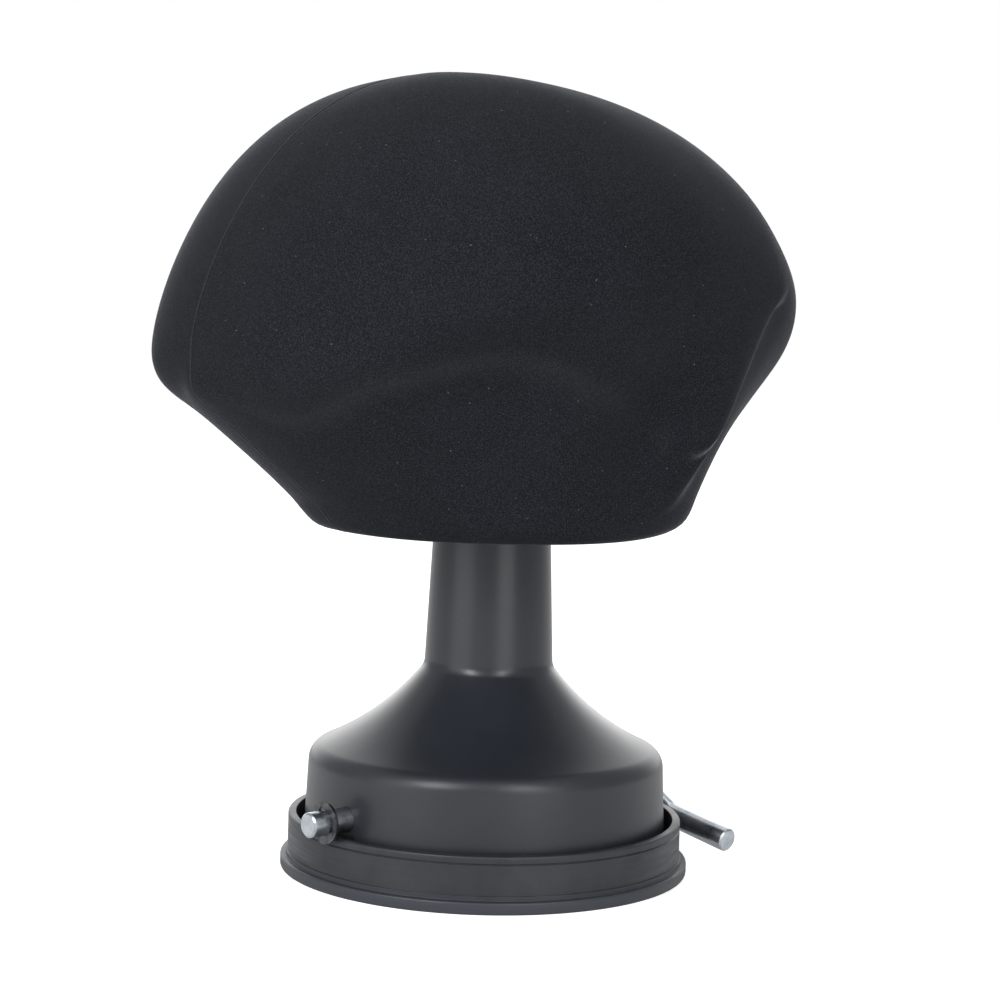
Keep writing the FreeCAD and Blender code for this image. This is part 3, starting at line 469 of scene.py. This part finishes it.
def head_profile(angle):
    """Radius, level and crown share of one upright section's poles: over the dome, then under the rim."""
    plan = ellipse_radius(angle, HEAD_LENGTH, HEAD_WIDTH)
    widest = plan * along_stations(angle, WIDEST_STATIONS, WIDEST_PLAN_SHARES)
    widest_level = HEAD_FOOT_LEVEL + HEAD_HEIGHT * along_stations(angle, WIDEST_STATIONS, WIDEST_LEVEL_SHARES)
    top = HEAD_FOOT_LEVEL + HEAD_HEIGHT
    side_round = along_stations(angle, ROUND_STATIONS, SIDE_ROUND_SHARES)
    crown_round = along_stations(angle, ROUND_STATIONS, CROWN_ROUND_SHARES)
    rim = plan * along_stations(angle, RIM_STATIONS, RIM_PLAN_SHARES)
    rim_level = HEAD_FOOT_LEVEL + HEAD_HEIGHT * along_stations(angle, RIM_STATIONS, RIM_LEVEL_SHARES)
    foot_radius = ellipse_radius(angle, FOOT_LENGTH, FOOT_WIDTH)
    foot_radius *= along_stations(angle, ROUND_STATIONS, FOOT_PLAN_SHARES)
    dome = []
    for place in pole_places(DOME_POLES):
        if place < DOME_SHARE:
            turn = math.radians(90) * place / DOME_SHARE
            fall = math.cos(turn) ** crown_round
            radius = widest * math.sin(turn) ** side_round
            dome.append((radius, widest_level + (top - widest_level) * fall, fall))
        else:
            part = (place - DOME_SHARE) / (1 - DOME_SHARE)
            radius = widest + (rim - widest) * part ** 2
            dome.append((radius, widest_level + (rim_level - widest_level) * part, 0.0))
    # the crown is level at its highest point
    dome[1] = (dome[1][0], top, 1.0)
    hollow = UNDER_HOLLOW * along_stations(angle, HOLLOW_STATIONS, UNDER_HOLLOW_SHARES)
    middle = (rim + foot_radius) / 2 - hollow
    middle_level = (rim_level + HEAD_FOOT_LEVEL) / 2
    rounded = FOOT_ROUND * along_stations(angle, ROUND_STATIONS, FOOT_ROUND_SHARES)
    under = []
    for place in pole_places(UNDER_POLES):
        shares = numpy.array([(1 - place) ** 2, 2 * place * (1 - place), place ** 2])
        under.append((shares @ (rim, middle, foot_radius),
                      shares @ (rim_level, middle_level, HEAD_FOOT_LEVEL + rounded), 0.0))
    corner = rounded * FOOT_CORNER_SHARE
    drawn_in = corner * along_stations(angle, ROUND_STATIONS, CORNER_DRAW_SHARES)
    under.append((foot_radius - drawn_in, HEAD_FOOT_LEVEL + corner, 0.0))
    for part in (0, 0.5, 1):
        under.append((foot_radius - rounded - FOOT_FLAT * part, HEAD_FOOT_LEVEL, 0.0))
    return dome, under


def head_poles():
    """The poles of the dome and of the surface under the rim, for the half towards +X."""
    surfaces = ([], [])
    for number, place in enumerate(pole_places(AROUND_POLES)):
        angle = 180 * place
        # the poles beside the mid plane stand square to it, so that the two halves meet without a ridge
        held = {1: 0.0, AROUND_POLES - 2: 180.0}.get(number)
        drawn = angle if held is None else held
        for surface, line in zip(surfaces, head_profile(drawn)):
            row = []
            for radius, level, fall in line:
                side = radius * math.sin(math.radians(angle)) if 0 < number < AROUND_POLES - 1 else 0.0
                row.append((side, radius * math.cos(math.radians(drawn)) + CROWN_SET_BACK * fall, level))
            surface.append(row)
    return [numpy.array(surface) for surface in surfaces]


def head_columns():
    """Places round the half head, from nape to face, close together beside the mid plane."""
    even = numpy.linspace(SIDE_START, 1 - SIDE_START, SIDE_COLUMNS)
    return numpy.concatenate([SEAM_COLUMNS, even, [1 - place for place in reversed(SEAM_COLUMNS)]])


def round_crease(line, crease, places, soft):
    """Points along an upright line whose crease, at one distance along it, is rounded off softly."""
    steps = numpy.linalg.norm(numpy.diff(line, axis=0), axis=1)
    distances = numpy.concatenate([[0.0], numpy.cumsum(steps)])
    shares = numpy.concatenate([[steps[0] / 2], (steps[:-1] + steps[1:]) / 2, [steps[-1] / 2]])
    corner = distances[crease]
    wanted = numpy.where(places < 0, corner + places * corner, corner + places * (distances[-1] - corner))
    sharp = numpy.array([numpy.interp(wanted, distances, line[:, axis]) for axis in range(3)]).T
    away = numpy.abs(wanted - corner)
    weights = numpy.exp(-((wanted[:, None] - distances[None, :]) / soft) ** 2 / 2) * shares[None, :]
    rounded = weights @ line / weights.sum(axis=1, keepdims=True)
    reach = CREASE_REACH * soft
    # the rounding ends before the foot's own round begins
    room = distances[-1] - corner - FOOT_ROOM
    reach = numpy.where(wanted > corner, min(reach, room), reach)
    # full up to half its reach, and fading out beyond
    blend = numpy.clip(2 * (1 - away / reach), 0, 1)[:, None]
    blend = blend * blend * (3 - 2 * blend)
    return sharp + (rounded - sharp) * blend, away


def half_head_grid():
    """Outer surface of the half towards +X, column by column, with how much each point is drawn lighter for
    wear and a painted highlight.
    """
    dome, under = head_poles()
    columns = head_columns()
    around = spline_weights(AROUND_POLES, columns)
    down = spline_weights(DOME_POLES, numpy.linspace(0, 1, DOME_SAMPLES))
    dome_lines = numpy.einsum("ap,pqx,bq->abx", around, dome, down)
    inwards = spline_weights(under.shape[1], numpy.linspace(0, 1, UNDER_SAMPLES))
    under_lines = numpy.einsum("ap,pqx,bq->abx", around, under, inwards)
    dome_rows = -(1 - numpy.linspace(0, 1, DOME_ROWS)) ** ROW_CROWDING
    under_rows = numpy.linspace(0, 1, UNDER_ROWS)[1:] ** ROW_CROWDING
    places = numpy.concatenate([dome_rows, under_rows])
    taper = (NECK_FOOT_RADIUS - NECK_TOP_RADIUS) / (NECK_TOP_LEVEL - NECK_FOOT_LEVEL)
    hole = NECK_TOP_RADIUS + taper * (NECK_TOP_LEVEL - HEAD_FOOT_LEVEL) + NECK_GAP
    grid = []
    wear_and_highlight = []
    for column, dome_line, under_line in zip(columns, dome_lines, under_lines):
        angle = 180 * column
        line = numpy.concatenate([dome_line, under_line[1:]])
        soft = along_stations(angle, CREASE_STATIONS, CREASE_ROUNDS)
        points, away = round_crease(line, DOME_SAMPLES - 1, places, soft)
        # the foot runs in to the neck hole
        end = points[-1]
        turn = math.atan2(end[0], end[1])
        rim = numpy.array([hole * math.sin(turn), hole * math.cos(turn), end[2]])
        inner = [end + (rim - end) * row / HOLE_ROWS for row in range(1, HOLE_ROWS + 1)]
        grid.append(numpy.concatenate([points, inner]))
        width = along_stations(angle, CREASE_STATIONS, CREASE_WEAR_AND_HIGHLIGHT_WIDTHS)
        # the crease's edge is drawn lighter: rubbed pile and a painted highlight
        rubbed_and_highlit = along_stations(angle, CREASE_STATIONS, CREASE_WEAR_AND_HIGHLIGHT_SHARES) * numpy.exp(-(away / width) ** 2)
        wear_and_highlight.append(numpy.concatenate([rubbed_and_highlit, numpy.zeros(HOLE_ROWS)]))
    return numpy.array(grid), numpy.array(wear_and_highlight)


def grid_normals(grid):
    """Outward normals of a grid of points, held in the mid plane along its first and last column."""
    normals = numpy.cross(numpy.gradient(grid, axis=0), numpy.gradient(grid, axis=1))
    normals[:, 0] = (0, 0, 1)
    normals[0, :, 0] = 0
    normals[-1, :, 0] = 0
    return normals / numpy.linalg.norm(normals, axis=2, keepdims=True)


def shell_faces(columns, rows):
    """Faces of a shell whose inner points follow its outer ones, closed at its hole and its two edges."""
    shift = columns * rows
    faces = []
    for column in range(columns - 1):
        for row in range(rows - 1):
            corner = column * rows + row
            quad = (corner, corner + 1, corner + rows + 1, corner + rows)
            faces.append(quad)
            faces.append(tuple(point + shift for point in reversed(quad)))
        rim = column * rows + rows - 1
        faces.append((rim, rim + shift, rim + rows + shift, rim + rows))
    for edge in (0, (columns - 1) * rows):
        for row in range(rows - 1):
            corner = edge + row
            faces.append((corner, corner + 1, corner + 1 + shift, corner + shift))
    return faces


def make_head():
    """Two flocked shells that meet at the mid plane, the one towards +X a little proud at the seam."""
    material = flocked_nylon()
    grid, wear_and_highlight = half_head_grid()
    normals = grid_normals(grid)
    inner = grid - normals * HEAD_WALL
    faces = shell_faces(*grid.shape[:2])
    near = numpy.exp(-(grid[:, :, 0] / SEAM_WIDTH) ** 2)
    turn = math.radians(-HEAD_TURN)
    for side, name, lift, wear in ((1, "head_shell_right", SEAM_RISE, SEAM_WEAR),
                                   (-1, "head_shell_left", -SEAM_DROP, 0.0)):
        outer = grid + normals * lift * near[:, :, None]
        points = numpy.concatenate([outer.reshape(-1, 3), inner.reshape(-1, 3)])
        across, along, level = points.T
        across = across * side
        turned = numpy.stack([across * math.cos(turn) - along * math.sin(turn),
                              across * math.sin(turn) + along * math.cos(turn), level], axis=1)
        mesh = mesh_from(name + "_flocked", turned, faces)
        # how much lighter each point is drawn: wear at the seam and the crease, and a painted highlight along
        # the crease
        layer = mesh.attributes.new("wear_and_highlight", "FLOAT", "POINT")
        rubbed_and_highlit = numpy.maximum(wear_and_highlight, near * wear)
        layer.data.foreach_set("value", numpy.concatenate([rubbed_and_highlit.ravel(), numpy.zeros(rubbed_and_highlit.size)]))
        weld(mesh)
        mesh.set_sharp_from_angle(angle=math.radians(HEAD_SHARP))
        new_piece(name + "_flocked", mesh, material, "flocked_black", "root", name)


# Turned pieces

def arc(centre, radius, start, end, steps):
    """Points along an arc between two angles in degrees, both ends included."""
    turns = numpy.radians(numpy.linspace(start, end, steps + 1))
    return [(centre[0] + radius * math.cos(turn), centre[1] + radius * math.sin(turn)) for turn in turns]


def straight(start, end, steps):
    """Points along a straight line, without its last."""
    start, end = numpy.array(start), numpy.array(end)
    return [tuple(start + (end - start) * number / steps) for number in range(steps)]


def soften(corners):
    """An outline of radius and level, each corner rounded by the size that is its third number."""
    outline = []
    for number, (radius, level, size) in enumerate(corners):
        here = numpy.array([radius, level])
        if size == 0:
            outline.append(tuple(here))
            continue
        before = numpy.array(corners[number - 1][:2]) - here
        after = numpy.array(corners[number + 1][:2]) - here
        long_before, long_after = numpy.linalg.norm(before), numpy.linalg.norm(after)
        before, after = before / long_before, after / long_after
        half = math.acos(before @ after) / 2
        reach = min(size / math.tan(half), long_before * ROUND_LIMIT, long_after * ROUND_LIMIT)
        first, last = here + before * reach, here + after * reach
        for step in range(ROUND_STEPS + 1):
            part = step / ROUND_STEPS
            outline.append(tuple(first * (1 - part) ** 2 + here * 2 * part * (1 - part) + last * part ** 2))
    return outline


def turned_mesh(name, outline, closed=True):
    """Turns an outline of radius and level about the upright axis."""
    turns = [2 * math.pi * number / TURNED_SIDES for number in range(TURNED_SIDES)]
    points = [(radius * math.cos(turn), radius * math.sin(turn), level)
              for turn in turns for radius, level in outline]
    count = len(outline)
    faces = []
    for side in range(TURNED_SIDES):
        following = (side + 1) % TURNED_SIDES
        for number in range(count if closed else count - 1):
            after = (number + 1) % count
            faces.append((side * count + number, following * count + number,
                          following * count + after, side * count + after))
    mesh = mesh_from(name, points, faces)
    weld(mesh)
    return mesh


def rod_along_y(name, radius, start, end):
    """A closed mesh of a plain rod along Y, at the shaft's level."""
    turns = [2 * math.pi * number / ROD_SIDES for number in range(ROD_SIDES)]
    points = [(radius * math.cos(turn), place, SHAFT_LEVEL + radius * math.sin(turn))
              for place in (start, end) for turn in turns]
    faces = [tuple(range(ROD_SIDES)), tuple(reversed(range(ROD_SIDES, 2 * ROD_SIDES)))]
    for number in range(ROD_SIDES):
        after = (number + 1) % ROD_SIDES
        faces.append((number, number + ROD_SIDES, after + ROD_SIDES, after))
    mesh = mesh_from(name, points, faces)
    weld(mesh)
    return mesh


def combined(mesh, other, operation):
    """The first mesh with the other added to it or cut from it."""
    first = bpy.data.objects.new("combined", mesh)
    second = bpy.data.objects.new("other", other)
    for item in (first, second):
        bpy.context.scene.collection.objects.link(item)
    change = first.modifiers.new("change", "BOOLEAN")
    change.operation = operation
    change.object = second
    result = bpy.data.meshes.new_from_object(first.evaluated_get(bpy.context.evaluated_depsgraph_get()))
    for item in (first, second):
        bpy.data.objects.remove(item)
    return result


def bell_outline():
    """Outer outline of the bell from the neck's top to the skirt's foot, with its tangent arcs."""
    lean = math.atan2(NECK_FOOT_RADIUS - NECK_TOP_RADIUS, NECK_TOP_LEVEL - NECK_FOOT_LEVEL)
    throat = numpy.array([NECK_FOOT_RADIUS + THROAT_ROUND * math.cos(lean),
                          NECK_FOOT_LEVEL + THROAT_ROUND * math.sin(lean)])
    across = (throat[0] - THROAT_END_RADIUS) / THROAT_ROUND
    end_turn = math.degrees(math.acos(across))
    throat_end = throat - THROAT_ROUND * numpy.array([across, math.sqrt(1 - across ** 2)])
    flare = throat_end + (throat - throat_end) * FLARE_ROUND / THROAT_ROUND
    foot = numpy.array([SKIRT_FOOT_RADIUS, DISC_THICKNESS])

    def shoulder_centre(level):
        start = numpy.array([SKIRT_TOP_RADIUS, level])
        down = (foot - start) / numpy.linalg.norm(foot - start)
        return start + SHOULDER_ROUND * numpy.array([down[1], -down[0]])

    low, high = DISC_THICKNESS + SHOULDER_ROUND, NECK_FOOT_LEVEL
    for _ in range(SHOULDER_HALVINGS):
        middle = (low + high) / 2
        if numpy.linalg.norm(shoulder_centre(middle) - flare) > FLARE_ROUND + SHOULDER_ROUND:
            low = middle
        else:
            high = middle
    shoulder = shoulder_centre(low)
    towards = math.degrees(math.atan2(*(shoulder - flare)[::-1]))
    skirt_turn = math.degrees(math.atan2(low - shoulder[1], SKIRT_TOP_RADIUS - shoulder[0]))
    outline = straight((NECK_TOP_RADIUS, NECK_TOP_LEVEL), (NECK_FOOT_RADIUS, NECK_FOOT_LEVEL), NECK_STEPS)
    outline += arc(throat, THROAT_ROUND, 180 + math.degrees(lean), 180 + end_turn, THROAT_STEPS)[:-1]
    outline += arc(flare, FLARE_ROUND, 180 + end_turn, 360 + towards, FLARE_STEPS)[:-1]
    outline += arc(shoulder, SHOULDER_ROUND, 180 + towards, skirt_turn, SHOULDER_STEPS)[:-1]
    outline += straight((SKIRT_TOP_RADIUS, low), tuple(foot), SKIRT_STEPS) + [tuple(foot)]
    return outline


def make_bell():
    """Neck, flare and skirt in one moulding, with bosses inside and a hole for the shaft."""
    outer = bell_outline()
    points = numpy.array(outer)
    slopes = numpy.gradient(points, axis=0)
    slopes /= numpy.linalg.norm(slopes, axis=1, keepdims=True)
    inner = points + BELL_WALL * numpy.stack([slopes[:, 1], -slopes[:, 0]], axis=1)
    inner[:, 1] = numpy.minimum(inner[:, 1], NECK_TOP_LEVEL - BELL_WALL)
    inner[-1, 1] = DISC_THICKNESS
    top = [(SCREW_HOLE_RADIUS, NECK_TOP_LEVEL), (NECK_TOP_RADIUS - NECK_EDGE, NECK_TOP_LEVEL),
           (NECK_TOP_RADIUS, NECK_TOP_LEVEL - NECK_EDGE)]
    ceiling = [(SCREW_HOLE_RADIUS, NECK_TOP_LEVEL - BELL_WALL)]
    outline = top + outer[1:] + [tuple(point) for point in inner[::-1]] + ceiling
    mesh = turned_mesh("bell_turned", outline)
    boss_end = SKIRT_FOOT_RADIUS - BELL_WALL
    for side in (1, -1):
        boss = rod_along_y("boss", BOSS_RADIUS, side * (boss_end - BOSS_LENGTH), side * boss_end)
        mesh = combined(mesh, boss, "UNION")
    hole_end = SKIRT_FOOT_RADIUS + HOLE_OVERRUN
    hole = rod_along_y("hole", ROD_DIAMETER / 2 + RUNNING_GAP, -hole_end, hole_end)
    mesh = combined(mesh, hole, "DIFFERENCE")
    mesh.polygons.foreach_set("use_smooth", [True] * len(mesh.polygons))
    mesh.set_sharp_from_angle(angle=math.radians(BELL_SHARP))
    new_piece("bell_housing_moulded", mesh, moulded_polypropylene(), "gloss_black", "root", "bell_housing")


def make_cup():
    """Rubber disc with a lip, a ring wall round the skirt, and a boss on the steel insert."""
    bead = RING_TOP - BEAD_DROP
    step_top = LIP_THICKNESS + RING_STEP_HEIGHT
    flange_top = INSERT_LEVEL + INSERT_FLANGE
    outline = soften([
        (0.0, 0.0, 0),
        (LIP_RADIUS, 0.0, LIP_NOSE / 2),
        (LIP_RADIUS, LIP_THICKNESS, LIP_NOSE),
        (RING_RADIUS + RING_STEP, LIP_THICKNESS, CUP_EDGE),
        (RING_RADIUS + RING_STEP, step_top, STEP_EDGE),
        (RING_RADIUS, step_top, STEP_EDGE),
        (RING_RADIUS, bead - BEAD_WIDTH / 2, FINE_EDGE),
        (RING_RADIUS - BEAD_DEPTH, bead, FINE_EDGE),
        (RING_RADIUS, bead + BEAD_WIDTH / 2, FINE_EDGE),
        (RING_RADIUS, RING_TOP, RING_ROUND),
        (RING_RADIUS - RING_WALL, RING_TOP, WALL_EDGE),
        (RING_RADIUS - RING_WALL, DISC_THICKNESS, WALL_EDGE),
        (CUP_BOSS_RADIUS, DISC_THICKNESS, CUP_EDGE),
        (CUP_BOSS_RADIUS, CUP_BOSS_TOP, CUP_EDGE),
        (INSERT_HUB_RADIUS, CUP_BOSS_TOP, FINE_EDGE),
        (INSERT_HUB_RADIUS, flange_top, 0),
        (INSERT_RADIUS, flange_top, 0),
        (INSERT_RADIUS, INSERT_LEVEL, 0),
        (0.0, INSERT_LEVEL, 0),
    ])
    mesh = turned_mesh("suction_cup_moulded", outline, closed=False)
    mesh.set_sharp_from_angle(angle=math.radians(CUP_SHARP))
    new_piece("suction_cup_moulded", mesh, moulded_rubber(), "black_rubber", "root", "suction_cup")


# Lever

def lever_path():
    """Points and directions along the middle of the rod, from the clip's end to the end of the arm."""
    drop = KNEE_REACH * math.tan(math.radians(ELBOW_DIP))
    arm_drop = (ARM_REACH - KNEE_REACH) * math.tan(math.radians(ARM_DIP))
    corners = [Vector((0, SHAFT_END, SHAFT_LEVEL)), Vector((0, -ARM_OFFSET, SHAFT_LEVEL)),
               Vector((-KNEE_REACH, -ARM_OFFSET, SHAFT_LEVEL - drop)),
               Vector((-ARM_REACH, -ARM_OFFSET, SHAFT_LEVEL - drop - arm_drop))]
    stations = [(corners[0], (corners[1] - corners[0]).normalized())]
    for number, bend in ((1, ELBOW_ROUND), (2, KNEE_ROUND)):
        before = (corners[number - 1] - corners[number]).normalized()
        after = (corners[number + 1] - corners[number]).normalized()
        half = before.angle(after) / 2
        inward = (before + after).normalized()
        centre = corners[number] + inward * (bend / math.sin(half))
        start = corners[number] + before * (bend / math.tan(half)) - centre
        axis = before.cross(after).normalized()
        sweep = math.pi - 2 * half
        for step in range(BEND_STEPS + 1):
            spin = Matrix.Rotation(-sweep * step / BEND_STEPS, 3, axis)
            stations.append((centre + spin @ start, spin @ -before))
    stations.append((corners[3], (corners[3] - corners[2]).normalized()))
    return stations


def lever_rings():
    """The rings of the rod's skin: middle, direction, radius, and distance from the clip's end."""
    radius = ROD_DIAMETER / 2
    chamfer = [(ROD_CHAMFER * back, radius - ROD_CHAMFER * inward) for back, inward in CHAMFER_SHARES]
    groove_start = SHAFT_END - CLIP_PLACE - (CLIP_THICKNESS + RUNNING_GAP) / 2
    groove_end = SHAFT_END - CLIP_PLACE + (CLIP_THICKNESS + RUNNING_GAP) / 2
    groove = [(groove_start - GROOVE_EDGE, radius), (groove_start, radius - GROOVE_EDGE),
              (groove_start, GROOVE_RADIUS), (groove_end, GROOVE_RADIUS),
              (groove_end, radius - GROOVE_EDGE), (groove_end + GROOVE_EDGE, radius)]
    stations = lever_path()
    place, along = stations[0]
    rings = [(place + along * distance, along, size, distance) for distance, size in chamfer + groove]
    length = 0.0
    for point, direction in stations[1:]:
        gap = (point - place).length
        pieces = max(1, int(gap / RING_SPACING))
        for step in range(1, pieces + 1):
            length += gap / pieces
            if length > groove_end + GROOVE_CLEARANCE:
                heading = direction if step == pieces else (point - place).normalized()
                rings.append((place.lerp(point, step / pieces), heading, radius, length))
        place = point
    end, along, _, length = rings.pop()
    for back, size in reversed(chamfer):
        rings.append((end - along * back, along, size, length - back))
    return rings


def make_lever():
    """The bent rod with chamfered ends and the groove that holds the clip."""
    rings = lever_rings()
    points = []
    swept = []
    side = Vector((1, 0, 0))
    for spot, direction, size, distance in rings:
        side = (side - direction * side.dot(direction)).normalized()
        up = direction.cross(side)
        for number in range(ROD_SIDES):
            turn = 2 * math.pi * number / ROD_SIDES
            points.append(tuple(spot + (side * math.cos(turn) + up * math.sin(turn)) * size))
            swept.append((size * math.cos(turn), size * math.sin(turn), distance))
    faces = []
    for ring in range(len(rings) - 1):
        start = ring * ROD_SIDES
        for number in range(ROD_SIDES):
            following = (number + 1) % ROD_SIDES
            faces.append((start + number, start + following,
                          start + ROD_SIDES + following, start + ROD_SIDES + number))
    # the sawn ends
    for ring in (0, len(rings) - 1):
        spot, _, _, distance = rings[ring]
        start, middle = ring * ROD_SIDES, len(points)
        points.append(tuple(spot))
        swept.append((0.0, 0.0, distance))
        for number in range(ROD_SIDES):
            faces.append((start + number, start + (number + 1) % ROD_SIDES, middle))
    mesh = mesh_from("lever_shaft_bent", points, faces)
    layer = mesh.attributes.new("swept", "FLOAT_VECTOR", "POINT")
    layer.data.foreach_set("vector", numpy.ravel(swept) * MM)
    weld(mesh)
    mesh.set_sharp_from_angle(angle=math.radians(ROD_SHARP))
    zinc = zinc_plated_steel("zinc_plated_rod", True)
    new_piece("lever_shaft_bent", mesh, zinc, "zinc_steel", "lever", "lever_shaft")


# Pieces that keep their own shape

def finish_nodes():
    """Gives each piece that is seen as it was made its own material."""
    zinc = zinc_plated_steel("zinc_plated_steel", False)
    blued = blued_spring_steel()
    finishes = {"head_socket": moulded_abs(), "head_screw": zinc, "head_washer": zinc, "head_nut": zinc,
                "cup_insert": zinc, "lift_stud": zinc, "eccentric_cam": zinc,
                "cam_pin": blued, "e_clip": blued}
    for name, material in finishes.items():
        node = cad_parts[name]
        if not node.material_slots:
            node.data.materials.append(material)
        for slot in node.material_slots:
            slot.material = material


# Camera, floor and light

# Distances are millimetres, the azimuth is degrees, and the camera's three small turns are radians
CAMERA_DISTANCE = 656.5
CAMERA_LEVEL = 157.18
CAMERA_AZIMUTH = 227.55
CAMERA_YAW = 0.0030464
CAMERA_PITCH = 0.076635
CAMERA_ROLL = 0.0282146
CAMERA_LENS = 82.05
SENSOR_WIDTH = 36.0
FLOOR_HALF = 3000.0
FLOOR_GLOW = 0.6

# The surround is brighter behind the stand, from this cosine of the angle off straight behind it
WALL_START = 0.64
FRONT_LEVEL = 0.47
BACK_LEVEL = 3.0

# Each soft box's azimuth is degrees to the right of the camera, its distance, level, width and height are
# metres, and its power is watts. They look at a place above the table, in metres too.
AIM_LEVEL = 0.1
SOFT_BOXES = {
    "soft_box_left": (-34, 1.1, 0.75, 0.26, 0.6, 7),
    "soft_box_right": (25, 1.1, 0.8, 0.22, 0.7, 3.5),
    "soft_box_top": (180, 0.3, 1.3, 0.8, 0.6, 5.0),
    "low_box_left": (-52, 0.65, 0.2, 0.45, 0.4, 0.7),
    "low_box_right": (29, 0.62, 0.2, 0.32, 0.4, 0.7),
}


def seen_from_camera(right, away, up):
    """The direction or place that lies so far to the right, away and up as the camera looks at the stand."""
    turn = math.radians(CAMERA_AZIMUTH)
    return Vector((right * math.cos(turn) - away * math.sin(turn),
                   right * math.sin(turn) + away * math.cos(turn), up))


def make_camera():
    """A camera level with the head, which looks slightly down and leans a little."""
    forward = Vector((math.sin(CAMERA_YAW) * math.cos(CAMERA_PITCH),
                      math.cos(CAMERA_YAW) * math.cos(CAMERA_PITCH), -math.sin(CAMERA_PITCH)))
    level = Vector((math.cos(CAMERA_YAW), -math.sin(CAMERA_YAW), 0))
    upright = level.cross(forward)
    right = level * math.cos(CAMERA_ROLL) + upright * math.sin(CAMERA_ROLL)
    up = upright * math.cos(CAMERA_ROLL) - level * math.sin(CAMERA_ROLL)
    axes = [seen_from_camera(*axis) for axis in (right, up, -forward)]
    data = bpy.data.cameras.new("camera")
    data.lens = CAMERA_LENS
    data.sensor_width = SENSOR_WIDTH
    data.sensor_fit = "HORIZONTAL"
    camera = bpy.data.objects.new("camera", data)
    place = seen_from_camera(0, -CAMERA_DISTANCE, CAMERA_LEVEL) * MM
    camera.matrix_world = Matrix.Translation(place) @ Matrix(axes).transposed().to_4x4()
    bpy.context.scene.collection.objects.link(camera)
    bpy.context.scene.camera = camera


def make_light(name, azimuth, distance, level, width, height, power):
    """A soft box that looks at the stand."""
    data = bpy.data.lights.new(name, "AREA")
    data.shape = "RECTANGLE"
    data.size = width
    data.size_y = height
    data.energy = power
    light = bpy.data.objects.new(name, data)
    turn = math.radians(azimuth)
    light.location = seen_from_camera(distance * math.sin(turn), -distance * math.cos(turn), level)
    light.visible_camera = False
    aim = Vector((0, 0, AIM_LEVEL)) - light.location
    light.rotation_euler = aim.to_track_quat("-Z", "Y").to_euler()
    bpy.context.scene.collection.objects.link(light)


def painted_board():
    """Matt white paint on board, lit from below as product tables are, so that no shadow shows."""
    material, tree, shader, place = new_material("painted_board")
    grain = add_node(tree, "TexNoise", {"Vector": place, "Scale": per(40), "Detail": 2.0})
    colour = add_node(tree, "Mix", {0: grain, 6: linear("#f2f2f2"), 7: linear("#f6f6f6")}, data_type="RGBA")
    seen = add_node(tree, "LightPath").outputs["Is Camera Ray"]
    glow = add_node(tree, "Math", {0: seen, 1: FLOOR_GLOW}, operation="MULTIPLY")
    fill(shader, {"Base Color": colour, "Roughness": 0.8, "Specular IOR Level": 0.0,
                  "Emission Strength": glow, "Emission Color": linear("#ffffff")})
    return material


def make_floor():
    """A wide pale floor."""
    corners = [(-FLOOR_HALF, -FLOOR_HALF, 0), (FLOOR_HALF, -FLOOR_HALF, 0),
               (FLOOR_HALF, FLOOR_HALF, 0), (-FLOOR_HALF, FLOOR_HALF, 0)]
    mesh = mesh_from("floor", corners, [(0, 1, 2, 3)])
    mesh.materials.append(painted_board())
    floor = bpy.data.objects.new("floor", mesh)
    bpy.context.scene.collection.objects.link(floor)


def make_surround():
    """An even pale room whose wall behind the stand is lit brighter than the room in front of it."""
    world = bpy.data.worlds.new("surround")
    world.use_nodes = True
    tree = world.node_tree
    direction = add_node(tree, "TexCoord").outputs["Generated"]
    behind = add_node(tree, "VectorMath", {0: direction, 1: seen_from_camera(0, 1, 0)},
                      operation="DOT_PRODUCT")
    level = add_node(tree, "MapRange", {"Value": behind, "From Min": WALL_START,
                                        "To Min": FRONT_LEVEL, "To Max": BACK_LEVEL})
    seen = add_node(tree, "LightPath").outputs["Is Camera Ray"]
    strength = add_node(tree, "Mix", {"Factor": seen, "A": level, "B": 1.0})
    fill(tree.nodes["Background"], {"Color": linear("#ffffff"), "Strength": strength})
    bpy.context.scene.world = world
    bpy.context.scene.view_settings.view_transform = "Standard"


make_head()
make_bell()
make_cup()
make_lever()
finish_nodes()
make_camera()
make_floor()
make_surround()
for name, numbers in SOFT_BOXES.items():
    make_light(name, *numbers)
